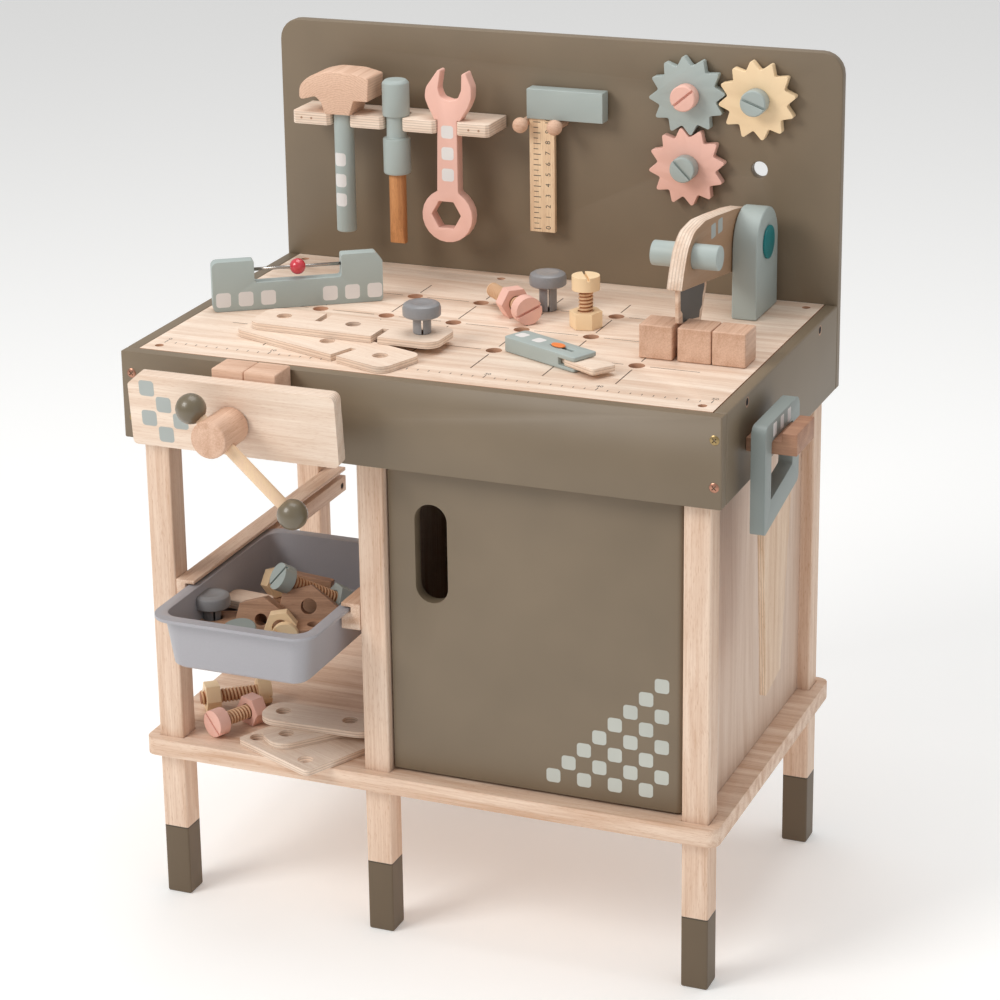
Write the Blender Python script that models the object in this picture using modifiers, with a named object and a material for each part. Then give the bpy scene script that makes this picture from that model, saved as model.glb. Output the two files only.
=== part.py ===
"""Toy workbench for a small child: six legs, a shelf, a cabinet with a hinged door, a sliding tray,
a vise, a worktop with a hole grid, a back panel with gears and a tool rack, and the toy tools.

Metres, +Z up, front towards -Y. Positions are written in bench coordinates: X from the left side
board's outer face, Y from the front board's front face, Z from the floor. One parent empty shifts
them all, so that the world origin is under the middle of the whole object.
"""

import math

import bmesh
import bpy
from mathutils import Vector

# Driving dimensions of the bench
GAP = 0.0003
WIDTH = 0.546
BOARD = 0.012
TOP_Z = 0.524
APRON_HEIGHT = 0.079
APRON_Z = TOP_Z - APRON_HEIGHT
PANEL_Y = 0.3354
PANEL_THICKNESS = 0.010
PANEL_TOP_Z = 0.753
WORKTOP_THICKNESS = 0.010
PITCH = 0.065

# Legs and shelf
LEG = 0.024
LEG_X = (BOARD + GAP, 0.216, WIDTH - BOARD - GAP - LEG)
LEG_Y = (BOARD + GAP, PANEL_Y - GAP - LEG)
LEG_TOP_Z = TOP_Z - WORKTOP_THICKNESS - GAP
SHELF_Z = 0.157
SHELF_THICKNESS = 0.016
SHELF_LOW = (0.002, 0.002)
SHELF_HIGH = (0.544, 0.344)

# Worktop and back panel holes
GRID_X = 0.1105
GRID_Y = 0.108
GRID_COLUMNS = 6
GRID_ROWS = 3
GRID_HOLE_RADIUS = 0.0072
SCREW_HOLE_RADIUS = 0.004
GEAR_X = 0.406
GEAR_Z = 0.708
PANEL_HOLE_RADIUS = 0.0075

# Cabinet
PLY = 0.009
PANEL_RECESS = 0.0115
DOOR_Y = 0.020
DOOR_THICKNESS = 0.012
DOOR_PIVOT_X = 0.5017
DOOR_LOW_Z = 0.1595
DOOR_HIGH_Z = 0.443
DOOR_PIN_RADIUS = 0.0025
HEADER_HEIGHT = 0.024

# Tray and its rails
RAIL_WIDTH = 0.018
RAIL_LOW_Z = 0.288
RAIL_HIGH_Z = 0.312
RAIL_SLOT_LOW_Z = 0.3035
RAIL_SLOT_HIGH_Z = 0.3085
RAIL_SLOT_DEPTH = 0.009
TRAY_FRONT_Y = -0.066
TRAY_LENGTH = 0.238
TRAY_DEPTH = 0.050
TRAY_RIM = 0.003
TRAY_WALL = 0.0026

# Vise
VISE_X = 0.128
VISE_Z = 0.4845
VISE_SHANK_RADIUS = 0.0070
VISE_HEAD_RADIUS = 0.0165
VISE_HEAD_FRONT_Y = -0.087
VISE_BAR_Y = -0.072
VISE_BAR_ANGLE = math.radians(-42.3)
VISE_BALL_RADIUS = 0.0132
VISE_BALL_NEAR = 0.0307
VISE_BALL_FAR = 0.0920
JAW_TILT = math.radians(6)
JAW_SIZE = (0.194, 0.065)
JAW_THICKNESS = 0.013
CUBE = 0.030

# Saw hook and handsaw
HOOK_END_X = 0.590
SAW_X = 0.5637

# Chop saw
CHOP_PIVOT = (0.295, 0.589)
CHOP_ARM_X = 0.4615
STAND_X = (0.4692, 0.492)

# Gears
GEAR_TEETH = 12
GEAR_TOOTH_ROUND = 0.0018
GEAR_TIP_RADIUS = 0.0360
GEAR_ROOT_RADIUS = 0.0280
GEAR_THICKNESS = 0.009
GEAR_REAR_Y = 0.3335
GEAR_PHASE = math.radians(6)
BOLT_SHANK_RADIUS = 0.0067
GEAR_BOLT_END_Y = 0.3594

# Tool rack and hanging tools
RACK_Y = 0.290
RACK_LOW_Z = 0.664
RACK_HIGH_Z = 0.676
TOOL_Y = 0.301
HAMMER_X = 0.0793
DRIVER_X = 0.1326
WRENCH_X = 0.186

# Spirit level, placed by its lower left front corner and its turn about Z
LEVEL_CORNER = (0.0251, 0.1286)
LEVEL_TURN = math.radians(33.6)
LEVEL_SIZE = (0.155, 0.013, 0.046)

# Toy knife, placed by its middle and its turn about Z
KNIFE_MIDDLE = (0.3594, 0.1014)
KNIFE_TURN = math.radians(-26)

# The world origin is under the middle of the bounding box
OVERALL_X = HOOK_END_X
OVERALL_Y = (VISE_HEAD_FRONT_Y, GEAR_BOLT_END_Y)
ORIGIN = Vector((-OVERALL_X / 2, -sum(OVERALL_Y) / 2, 0.0))

# Ways to turn a flat outline: its own x and y go to these world axes
FLAT = (0.0, 0.0, 0.0)
FACING_FRONT = (math.pi / 2, 0.0, 0.0)
FACING_RIGHT = (math.pi / 2, 0.0, math.pi / 2)

# Colour, roughness and metallic value of each material
LOOKS = {
    "taupe": ((0.235, 0.182, 0.118), 0.55, 0.0),
    "light_wood": ((0.79, 0.60, 0.42), 0.60, 0.0),
    "beech": ((0.66, 0.40, 0.25), 0.60, 0.0),
    "blue_grey": ((0.40, 0.45, 0.43), 0.50, 0.0),
    "pink": ((0.79, 0.47, 0.36), 0.50, 0.0),
    "cream": ((0.84, 0.64, 0.37), 0.50, 0.0),
    "grey_plastic": ((0.36, 0.35, 0.37), 0.40, 0.0),
    "olive": ((0.20, 0.17, 0.12), 0.40, 0.0),
    "brown_wood": ((0.53, 0.25, 0.09), 0.55, 0.0),
    "teal": ((0.003, 0.20, 0.21), 0.35, 0.0),
    "red": ((0.58, 0.04, 0.06), 0.30, 0.0),
    "steel": ((0.45, 0.42, 0.40), 0.30, 1.0),
}


def clear_scene():
    for obj in list(bpy.data.objects):
        bpy.data.objects.remove(obj)


def new_collection(name):
    collection = bpy.data.collections.new(name)
    bpy.context.scene.collection.children.link(collection)
    return collection


def make_material(name):
    color, roughness, metallic = LOOKS[name]
    material = bpy.data.materials.new(name)
    material.use_nodes = True
    shader = material.node_tree.nodes["Principled BSDF"]
    shader.inputs["Base Color"].default_value = (*color, 1.0)
    shader.inputs["Roughness"].default_value = roughness
    shader.inputs["Metallic"].default_value = metallic
    return material


clear_scene()
PARTS = new_collection("toy_workbench")
CUTTERS = new_collection("cutters")
MATERIALS = {name: make_material(name) for name in LOOKS}
BENCH = bpy.data.objects.new("bench_origin", None)
BENCH.location = ORIGIN
PARTS.objects.link(BENCH)


# Making objects


def place(name, mesh, look, location=(0, 0, 0), turn=(0, 0, 0), parent=None):
    """A part when look is a material's name, and a hidden cutter when look is None."""
    obj = bpy.data.objects.new(name, mesh)
    obj.location = location
    obj.rotation_euler = turn
    obj.parent = parent or BENCH
    if look:
        PARTS.objects.link(obj)
        mesh.materials.append(MATERIALS[look])
        mesh.shade_smooth()
        mesh.set_sharp_from_angle(angle=math.radians(35))
    else:
        CUTTERS.objects.link(obj)
        obj.hide_render = True
        obj.display_type = "WIRE"
    return obj


def mesh_from(shape, name):
    mesh = bpy.data.meshes.new(name)
    bmesh.ops.recalc_face_normals(shape, faces=shape.faces)
    shape.to_mesh(mesh)
    shape.free()
    return mesh


def box_mesh(name, size):
    shape = bmesh.new()
    bmesh.ops.create_cube(shape, size=1.0)
    bmesh.ops.scale(shape, vec=size, verts=shape.verts)
    return mesh_from(shape, name)


def block(name, low, high, look, parent=None):
    """A box between two corners, with its origin at its middle."""
    low, high = Vector(low), Vector(high)
    return place(name, box_mesh(name, high - low), look, (low + high) / 2, parent=parent)


def cylinder_mesh(name, radius, length, sides):
    shape = bmesh.new()
    bmesh.ops.create_cone(
        shape, cap_ends=True, segments=sides, radius1=radius, radius2=radius, depth=length
    )
    return mesh_from(shape, name)


def dowel(name, start, end, radius, look, sides=24, parent=None):
    """A round rod between two points."""
    start, end = Vector(start), Vector(end)
    span = end - start
    turn = span.to_track_quat("Z", "Y").to_euler()
    mesh = cylinder_mesh(name, radius, span.length, sides)
    return place(name, mesh, look, (start + end) / 2, turn, parent)


def ball(name, centre, radius, look, parent=None):
    shape = bmesh.new()
    bmesh.ops.create_uvsphere(shape, u_segments=18, v_segments=12, radius=radius)
    return place(name, mesh_from(shape, name), look, centre, parent=parent)


def turned(name, profile, location, turn, look, sides=28, parent=None):
    """A turned shape: (radius, height) points from the bottom of the axis to its top."""
    points = [(radius, 0.0, height) for radius, height in reversed(profile)]
    mesh = bpy.data.meshes.new(name)
    mesh.from_pydata(points, [(i, i + 1) for i in range(len(points) - 1)], [])
    obj = place(name, mesh, look, location, turn, parent)
    screw = obj.modifiers.new("turn", "SCREW")
    screw.steps = sides
    screw.render_steps = sides
    screw.use_merge_vertices = True
    screw.merge_threshold = 0.00001
    return obj


def cut(target, cutter):
    boolean = target.modifiers.new("cut", "BOOLEAN")
    boolean.operation = "DIFFERENCE"
    boolean.solver = "EXACT"
    boolean.object = cutter


def add(target, other):
    boolean = target.modifiers.new("join", "BOOLEAN")
    boolean.operation = "UNION"
    boolean.solver = "EXACT"
    boolean.object = other


# Outlines, as lists of (x, y)


def circle(x, y, radius, steps=20, start=0.0):
    angles = [start + 2 * math.pi * i / steps for i in range(steps)]
    return [(x + radius * math.cos(a), y + radius * math.sin(a)) for a in angles]


def arc(x, y, radius, first, last, steps):
    """Points along an arc, angles in degrees."""
    angles = [math.radians(first + (last - first) * i / steps) for i in range(steps + 1)]
    return [(x + radius * math.cos(a), y + radius * math.sin(a)) for a in angles]


def rounded(corners, steps=4):
    """An outline from (x, y, radius) corners, with an arc in place of each corner that has a radius."""
    outline = []
    for i, (x, y, radius) in enumerate(corners):
        here = Vector((x, y))
        back = (Vector(corners[i - 1][:2]) - here).normalized()
        ahead = (Vector(corners[(i + 1) % len(corners)][:2]) - here).normalized()
        if not radius:
            outline.append((x, y))
            continue
        half = back.angle(ahead) / 2
        middle = here + (back + ahead).normalized() * radius / math.sin(half)
        first = here + back * radius / math.tan(half) - middle
        last = here + ahead * radius / math.tan(half) - middle
        sweep = first.angle_signed(last)
        for step in range(steps + 1):
            angle = math.atan2(first.y, first.x) - sweep * step / steps
            outline.append((middle.x + radius * math.cos(angle), middle.y + radius * math.sin(angle)))
    return outline


def rectangle(x0, y0, x1, y1, radius=0.0, steps=4):
    corners = ((x0, y0), (x1, y0), (x1, y1), (x0, y1))
    return rounded([(x, y, radius) for x, y in corners], steps)


def plate_mesh(name, outlines, thickness):
    """A flat plate from its outer outline and the outlines of its holes."""
    curve = bpy.data.curves.new(name, "CURVE")
    curve.dimensions = "2D"
    curve.fill_mode = "BOTH"
    curve.extrude = thickness / 2
    for outline in outlines:
        spline = curve.splines.new("POLY")
        spline.points.add(len(outline) - 1)
        for point, (x, y) in zip(spline.points, outline):
            point.co = (x, y, 0.0, 1.0)
        spline.use_cyclic_u = True
    guide = bpy.data.objects.new(name, curve)
    CUTTERS.objects.link(guide)
    graph = bpy.context.evaluated_depsgraph_get()
    mesh = bpy.data.meshes.new_from_object(guide.evaluated_get(graph))
    bpy.data.objects.remove(guide)
    shape = bmesh.new()
    shape.from_mesh(mesh)
    bmesh.ops.remove_doubles(shape, verts=shape.verts, dist=0.000001)
    return mesh_from(shape, name)


def plate(name, outlines, thickness, location, turn, look, parent=None):
    return place(name, plate_mesh(name, outlines, thickness), look, location, turn, parent)


# Frame: legs, shelf, boards, worktop, back panel


def make_legs():
    for side, x in zip(("left", "middle", "right"), LEG_X):
        for row, y in zip(("front", "rear"), LEG_Y):
            block(f"leg_{row}_{side}", (x, y, 0), (x + LEG, y + LEG, LEG_TOP_Z), "light_wood")


def make_shelf():
    outlines = [rectangle(*SHELF_LOW, *SHELF_HIGH, radius=0.010)]
    for x in LEG_X:
        for y in LEG_Y:
            outlines.append(rectangle(x - GAP, y - GAP, x + LEG + GAP, y + LEG + GAP))
    middle = (0, 0, SHELF_Z - SHELF_THICKNESS / 2)
    plate("shelf", outlines, SHELF_THICKNESS, middle, FLAT, "light_wood")


def make_boards():
    side_y = (BOARD + GAP, PANEL_Y - GAP)
    front = block("front_board", (0, 0, APRON_Z), (WIDTH, BOARD, TOP_Z), "taupe")
    cut(front, dowel("front_board_hole", (VISE_X, -0.01, VISE_Z), (VISE_X, 0.03, VISE_Z), 0.0075, None))
    block("left_board", (0, side_y[0], APRON_Z), (BOARD, side_y[1], TOP_Z), "taupe")
    block("right_board", (WIDTH - BOARD, side_y[0], APRON_Z), (WIDTH, side_y[1], TOP_Z), "taupe")


def grid_places():
    return [
        (GRID_X + PITCH * column, GRID_Y + PITCH * row)
        for column in range(GRID_COLUMNS)
        for row in range(GRID_ROWS)
    ]


def make_worktop():
    low = BOARD + GAP
    outlines = [rectangle(low, low, WIDTH - low, PANEL_Y - GAP)]
    outlines += [circle(x, y, GRID_HOLE_RADIUS, steps=18) for x, y in grid_places()]
    for x, y in ((0.025, 0.025), (0.521, 0.025), (0.025, 0.3205), (0.521, 0.3205), (0.228, 0.318)):
        outlines.append(circle(x, y, SCREW_HOLE_RADIUS, steps=12))
    middle = (0, 0, TOP_Z - WORKTOP_THICKNESS / 2)
    plate("worktop", outlines, WORKTOP_THICKNESS, middle, FLAT, "light_wood")


def make_back_panel():
    corners = [(0, APRON_Z, 0), (WIDTH, APRON_Z, 0), (WIDTH, PANEL_TOP_Z, 0.02), (0, PANEL_TOP_Z, 0.02)]
    outlines = [rounded(corners, steps=6)]
    for x in (GEAR_X, GEAR_X + PITCH):
        for z in (GEAR_Z, GEAR_Z - PITCH):
            outlines.append(circle(x, z, PANEL_HOLE_RADIUS))
    middle = (0, PANEL_Y + PANEL_THICKNESS / 2, 0)
    plate("back_panel", outlines, PANEL_THICKNESS, middle, FACING_FRONT, "taupe")


# Cabinet


def make_cabinet():
    low, high = SHELF_Z + GAP, LEG_TOP_Z
    front, rear = LEG_Y[0] + LEG + GAP, LEG_Y[1] - GAP
    right_x = LEG_X[2] + LEG - PANEL_RECESS
    block("cabinet_side_panel", (right_x - PLY, front, low), (right_x, rear, high), "light_wood")
    left_x = LEG_X[1] + (LEG - PLY) / 2
    block("cabinet_partition", (left_x, front, low), (left_x + PLY, rear, high), "light_wood")
    inside = (LEG_X[1] + LEG + GAP, LEG_X[2] - GAP)
    back_y = LEG_Y[1] + (LEG - PLY) / 2
    block("cabinet_back", (inside[0], back_y, low), (inside[1], back_y + PLY, high), "light_wood")
    header_y = (DOOR_Y - 0.005, DOOR_Y + DOOR_THICKNESS + 0.008)
    header_z = (DOOR_HIGH_Z + 0.0015, DOOR_HIGH_Z + 0.0015 + HEADER_HEIGHT)
    header_low = (inside[0], header_y[0], header_z[0])
    header_high = (inside[1], header_y[1], header_z[1])
    header = block("door_header", header_low, header_high, "light_wood")
    return header, header_z


def door_pin(name, low_z, high_z, radius, look):
    y = DOOR_Y + DOOR_THICKNESS / 2
    return dowel(name, (DOOR_PIVOT_X, y, low_z), (DOOR_PIVOT_X, y, high_z), radius, look, sides=16)


def make_door(header, header_z):
    """The door turns on a steel pin through its right edge, from the shelf up into the header."""
    pivot_y = DOOR_Y + DOOR_THICKNESS / 2
    half = DOOR_THICKNESS / 2
    left = LEG_X[1] + LEG + 0.002 - DOOR_PIVOT_X
    outline = [(0, -half)] + arc(0, 0, half, -75, 75, 8) + [(0, half), (left, half), (left, -half)]
    mesh = plate_mesh("door", [outline], DOOR_HIGH_Z - DOOR_LOW_Z)
    middle_z = (DOOR_HIGH_Z + DOOR_LOW_Z) / 2
    door = place("door", mesh, "taupe", (DOOR_PIVOT_X, pivot_y, middle_z))
    slot = plate(
        "door_slot", [rectangle(0.266, 0.320, 0.296, 0.410, 0.0149, 8)], 0.03, (0, pivot_y, 0), FACING_FRONT, None
    )
    cut(door, slot)
    cut(door, door_pin("door_bore", DOOR_LOW_Z - 0.01, DOOR_HIGH_Z + 0.01, DOOR_PIN_RADIUS + GAP, None))
    pin_z = (SHELF_Z - 0.008, header_z[0] + 0.010)
    bore_radius = DOOR_PIN_RADIUS + GAP
    cut(header, door_pin("header_bore", header_z[0] - 0.01, pin_z[1] + GAP, bore_radius, None))
    cut(bpy.data.objects["shelf"], door_pin("shelf_bore", pin_z[0] - GAP, SHELF_Z + 0.01, bore_radius, None))
    door_pin("door_hinge_pin", *pin_z, DOOR_PIN_RADIUS, "steel")


# Tray


def make_rail(side, outer_x, inward):
    """A hardwood rail with a slot for the tray's rim. inward is 1 on the left and -1 on the right."""
    inner_x = outer_x + inward * RAIL_WIDTH
    slot_x = inner_x - inward * RAIL_SLOT_DEPTH
    outline = [
        (outer_x, RAIL_LOW_Z),
        (inner_x, RAIL_LOW_Z),
        (inner_x, RAIL_SLOT_LOW_Z),
        (slot_x, RAIL_SLOT_LOW_Z),
        (slot_x, RAIL_SLOT_HIGH_Z),
        (inner_x, RAIL_SLOT_HIGH_Z),
        (inner_x, RAIL_HIGH_Z),
        (outer_x, RAIL_HIGH_Z),
    ]
    length = PANEL_Y - 0.002 - BOARD
    middle = (0, BOARD + GAP + length / 2, 0)
    plate(f"tray_rail_{side}", [outline], length, middle, FACING_FRONT, "light_wood")


def loft(name, rings, look, location):
    """A closed skin over rings of equally many points, listed from one end to the other."""
    count = len(rings[0])
    shape = bmesh.new()
    loops = [[shape.verts.new(point) for point in ring] for ring in rings]
    for lower, upper in zip(loops, loops[1:]):
        for i in range(count):
            shape.faces.new((lower[i - 1], lower[i], upper[i], upper[i - 1]))
    shape.faces.new(loops[0])
    shape.faces.new(loops[-1])
    return place(name, mesh_from(shape, name), look, location)


def make_tray():
    """A moulded tray: the skin goes up the outside, round the rim and down the inside."""
    rail_inner = (LEG_X[0] + LEG + GAP + RAIL_WIDTH, LEG_X[1] - GAP - RAIL_WIDTH)
    middle_x = sum(rail_inner) / 2
    half_x = (rail_inner[1] - rail_inner[0]) / 2
    half_y = TRAY_LENGTH / 2
    rim_low = RAIL_SLOT_LOW_Z + GAP
    rim_top = rim_low + TRAY_RIM
    rim = RAIL_SLOT_DEPTH - 0.0020

    def ring(inset, z, radius):
        x, y = half_x - inset, half_y - rim - inset
        return [(px, py, z) for px, py in rectangle(-x, -y, x, y, radius, 5)]

    draft = 0.006
    low = rim_top - TRAY_DEPTH
    body = 0.0012
    rings = [
        ring(draft + 0.005, low, 0.011),
        ring(draft + 0.001, low + 0.003, 0.014),
        ring(body, rim_low, 0.017),
        ring(-rim, rim_low, 0.022),
        ring(-rim, rim_top, 0.022),
        ring(body + TRAY_WALL, rim_top, 0.0145),
        ring(draft + TRAY_WALL + 0.001, low + TRAY_WALL + 0.003, 0.011),
        ring(draft + TRAY_WALL + 0.005, low + TRAY_WALL, 0.009),
    ]
    loft("tray", rings, "grey_plastic", (middle_x, TRAY_FRONT_Y + half_y, 0))


# Vise


def make_vise():
    """The jaw leans out at the top. The screw turns in it and is pulled in by the nut block behind."""
    half_x, half_z = JAW_SIZE[0] / 2, JAW_SIZE[1] / 2
    corners = [(-half_x, -half_z, 0.004), (half_x, -half_z, 0.005), (half_x, half_z, 0.006)]
    corners += [(-half_x + 0.010, half_z, 0.004), (-half_x, half_z - 0.009, 0.003)]
    middle = Vector((VISE_X, -0.0365, 0.4885))
    turn = (math.pi / 2 + JAW_TILT, 0.0, 0.0)
    jaw = plate("vise_jaw", [rounded(corners)], JAW_THICKNESS, middle, turn, "light_wood")
    shank_end = 0.045
    shank = ((VISE_X, shank_end, VISE_Z), (VISE_X, -0.060, VISE_Z))
    cut(jaw, dowel("vise_jaw_bore", *shank, VISE_SHANK_RADIUS + 0.0012, None))
    nut = block("vise_nut", (VISE_X - 0.02, BOARD + GAP, 0.464), (VISE_X + 0.02, 0.027, 0.504), "beech")
    cut(nut, dowel("vise_nut_bore", *shank, VISE_SHANK_RADIUS + GAP, None))

    reach = shank_end - VISE_HEAD_FRONT_Y
    head = 0.0422
    profile = [
        (0.0, 0.0),
        (VISE_HEAD_RADIUS - 0.001, 0.0),
        (VISE_HEAD_RADIUS, 0.001),
        (VISE_HEAD_RADIUS, head),
        (VISE_SHANK_RADIUS, head),
        (VISE_SHANK_RADIUS, reach),
        (0.0, reach),
    ]
    to_rear = (-math.pi / 2, 0.0, 0.0)
    screw = turned("vise_screw", profile, (VISE_X, VISE_HEAD_FRONT_Y, VISE_Z), to_rear, "beech")

    along = Vector((math.cos(VISE_BAR_ANGLE), 0.0, math.sin(VISE_BAR_ANGLE)))
    centre = Vector((VISE_X, VISE_BAR_Y, VISE_Z))
    near, far = centre - along * VISE_BALL_NEAR, centre + along * VISE_BALL_FAR
    bar_radius = 0.0054
    cut(screw, dowel("vise_screw_bore", near, far, bar_radius + GAP, None))
    depth = along * 0.006
    dowel("vise_bar", near - depth, far + depth, bar_radius, "light_wood", sides=20)
    for name, spot, end in (("vise_ball_near", near, near - depth), ("vise_ball_far", far, far + depth)):
        sphere = ball(name, spot, VISE_BALL_RADIUS, "olive")
        stop = end + (end - spot).normalized() * GAP
        inward = centre + (spot - centre) * 0.3
        cut(sphere, dowel(name + "_bore", inward, stop, bar_radius + GAP, None))


def make_clamped_cubes():
    """Two cubes gripped between the jaw and the front board."""
    low_z = 0.498
    for name, x in (("clamped_cube_left", 0.1037), ("clamped_cube_right", 0.1340)):
        block(name, (x, -GAP - CUBE, low_z), (x + CUBE, -GAP, low_z + CUBE), "beech")


# Right side: hook and handsaw


def make_saw_hook():
    lip_z, bar_top, low_z = 0.495, 0.488, 0.476
    lip_x = HOOK_END_X - 0.013
    start = WIDTH + GAP
    corners = [(start, low_z), (HOOK_END_X, low_z), (HOOK_END_X, lip_z), (lip_x, lip_z)]
    corners += [(lip_x, bar_top), (start, bar_top)]
    plate("saw_hook", [corners], 0.050, (0, 0.087, 0), FACING_FRONT, "beech")


def make_handsaw():
    """The grip hangs on the hook by its window, and the wooden blade is let into a slot in the grip."""
    grip = [(0.040, 0.411, 0.003), (0.137, 0.430, 0.006), (0.137, 0.505, 0.010), (0.040, 0.505, 0.008)]
    window = [(0.0575, 0.4375, 0.001), (0.1185, 0.4490, 0.003)]
    window += [(0.1185, 0.4883, 0.003), (0.0575, 0.4883, 0.003)]
    place_x = (SAW_X, 0, 0)
    outlines = [rounded(grip), rounded(window)]
    handle = plate("handsaw_handle", outlines, 0.0125, place_x, FACING_RIGHT, "blue_grey")
    teeth = []
    for i in range(11):
        depth = 0.0025 if i % 2 else 0.0
        teeth.append((0.1285 - 0.0023 * i - depth, 0.4180 - 0.0150 * i))
    blade = [(0.0637, 0.2593), (0.0496, 0.4248), (0.1290, 0.4400)] + teeth
    thickness = 0.006
    plate("handsaw_blade", [blade], thickness, place_x, FACING_RIGHT, "light_wood")
    slot = [(0.0493, 0.400), (0.1293, 0.400), (0.1293, 0.4404), (0.0493, 0.4251)]
    cut(handle, plate("handsaw_slot", [slot], thickness + 2 * GAP, place_x, FACING_RIGHT, None))


# Chop saw


def chop_pin(name, start_x, end_x, radius, look):
    y, z = CHOP_PIVOT
    return dowel(name, (start_x, y, z), (end_x, y, z), radius, look, sides=24)


def make_chop_saw():
    """A stand with a pivot, and a swinging arm with a cross handle and a thin blade."""
    y, z = CHOP_PIVOT
    half = 0.0315
    floor = TOP_Z + GAP
    side = [(y - half, floor), (y + half, floor)] + arc(y, z, half, 0, 180, 14)
    stand_x = sum(STAND_X) / 2
    thickness = STAND_X[1] - STAND_X[0]
    stand = plate("chop_saw_stand", [side], thickness, (stand_x, 0, 0), FACING_RIGHT, "blue_grey")
    cut(stand, chop_pin("stand_bore", 0.46, 0.50, 0.0062, None))
    pivot = chop_pin("chop_saw_pivot", 0.4545, 0.4930, 0.0058, "teal")
    add(pivot, chop_pin("pivot_cap", STAND_X[1] + GAP, 0.4940, 0.0150, None))

    arm_x = (CHOP_ARM_X, 0, 0)
    back = arc(y, z, 0.029, -110, 80, 10)
    corners = [(0.1280, 0.5866, 0.001), (0.2610, 0.5676, 0)] + [(*point, 0) for point in back]
    corners += [(0.2720, 0.6225, 0), (0.2243, 0.6288, 0.04), (0.1903, 0.6325, 0.04)]
    corners += [(0.1610, 0.6300, 0.03), (0.1440, 0.6190, 0.03), (0.1340, 0.6010, 0.03)]
    outline = rounded(corners, 4)
    arm = plate("chop_saw_arm", [outline], 0.014, arm_x, FACING_RIGHT, "light_wood")
    cut(arm, chop_pin("arm_bore", 0.4500, 0.4700, 0.0061, None))
    handle_spot = (0.1625, 0.6085)
    cut(arm, dowel("arm_handle_bore", (0.45, *handle_spot), (0.48, *handle_spot), 0.0112, None))
    dowel("chop_saw_handle", (0.4310, *handle_spot), (0.4910, *handle_spot), 0.0109, "blue_grey")

    blade = [(0.1360, 0.5560), (0.1345, 0.5950), (0.2080, 0.5950)]
    blade += [(0.2110, 0.5700), (0.1960, 0.5410), (0.1600, 0.5480)]
    blade_thickness = 0.003
    plate("chop_saw_blade", [blade], blade_thickness, arm_x, FACING_RIGHT, "light_wood")
    slot = [(0.1200, 0.5400), (0.2113, 0.5400), (0.2113, 0.5953)]
    slot += [(0.1342, 0.5953), (0.1342, 0.5650), (0.1200, 0.5650)]
    cut(arm, plate("arm_slot", [slot], blade_thickness + 2 * GAP, arm_x, FACING_RIGHT, None))


# Gears


def gear_outline(phase):
    """Pointed teeth, rounded at their tips and roots so that they end at the two gear radii."""
    corners = []
    step = 2 * math.pi / GEAR_TEETH
    for i in range(GEAR_TEETH):
        for angle, reach in ((0, GEAR_TIP_RADIUS + 0.0012), (step / 2, GEAR_ROOT_RADIUS - 0.0008)):
            turn = phase + step * i + angle
            corners.append((reach * math.cos(turn), reach * math.sin(turn), GEAR_TOOTH_ROUND))
    return rounded(corners, 3)


def slotted_bolt(name, centre, turn, look, head_length, slot_turn, parent=None):
    """A wooden bolt along local Z with a slotted round head, and its shank below."""
    head_radius, shank_length = 0.0118, GEAR_BOLT_END_Y - GEAR_REAR_Y + GEAR_THICKNESS
    profile = [
        (0.0, -shank_length),
        (BOLT_SHANK_RADIUS, -shank_length),
        (BOLT_SHANK_RADIUS, 0.0),
        (head_radius, 0.0),
        (head_radius, head_length - 0.001),
        (head_radius - 0.001, head_length),
        (0.0, head_length),
    ]
    bolt = turned(name, profile, centre, turn, look, sides=24, parent=parent)
    slot = place(name + "_slot", box_mesh(name + "_slot", (0.04, 0.0022, 0.006)), None, parent=bolt)
    slot.location = (0, 0, head_length)
    slot.rotation_euler = (0, 0, slot_turn)
    cut(bolt, slot)


def make_gears():
    """Blue drives yellow on its right and pink under it. Each is half a tooth out, so they mesh."""
    mesh_phase = math.radians(180 + 15) - GEAR_PHASE
    gears = (
        ("blue", GEAR_X, GEAR_Z, GEAR_PHASE, "blue_grey", "pink", 40),
        ("yellow", GEAR_X + PITCH, GEAR_Z, mesh_phase, "cream", "blue_grey", -20),
        ("pink", GEAR_X, GEAR_Z - PITCH, mesh_phase - math.pi, "pink", "blue_grey", -45),
    )
    for name, x, z, phase, look, bolt_look, slot in gears:
        outlines = [gear_outline(phase), circle(0, 0, BOLT_SHANK_RADIUS + 0.0004)]
        middle = (x, GEAR_REAR_Y - GEAR_THICKNESS / 2, z)
        plate(f"gear_{name}", outlines, GEAR_THICKNESS, middle, FACING_FRONT, look)
        seat = (x, GEAR_REAR_Y - GEAR_THICKNESS - GAP, z)
        slotted_bolt(f"gear_{name}_bolt", seat, FACING_FRONT, bolt_look, 0.013, math.radians(slot))


# Try square on its pegs


def make_try_square():
    """The head lies on two ball-ended pegs, and the blade hangs down between them."""
    head = block("try_square_head", (0.2550, 0.3180, 0.6782), (0.3285, 0.3330, 0.7060), "blue_grey")
    low, high = (0.2566, 0.3205, 0.5718), (0.2810, 0.3255, 0.6960)
    block("try_square_blade", low, high, "light_wood")
    grown = [value - GAP for value in low], [value + GAP for value in high]
    cut(head, block("try_square_slot", *grown, None))
    for name, x in (("left", 0.2522), ("right", 0.2855)):
        centre = Vector((x, 0.3090, 0.6737))
        peg = ball(f"square_peg_{name}", centre, 0.0072, "beech")
        add(peg, dowel(f"peg_shaft_{name}", centre, (x, PANEL_Y - GAP, centre.z), 0.0041, None, 16))


# Tool rack and hanging tools


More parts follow.
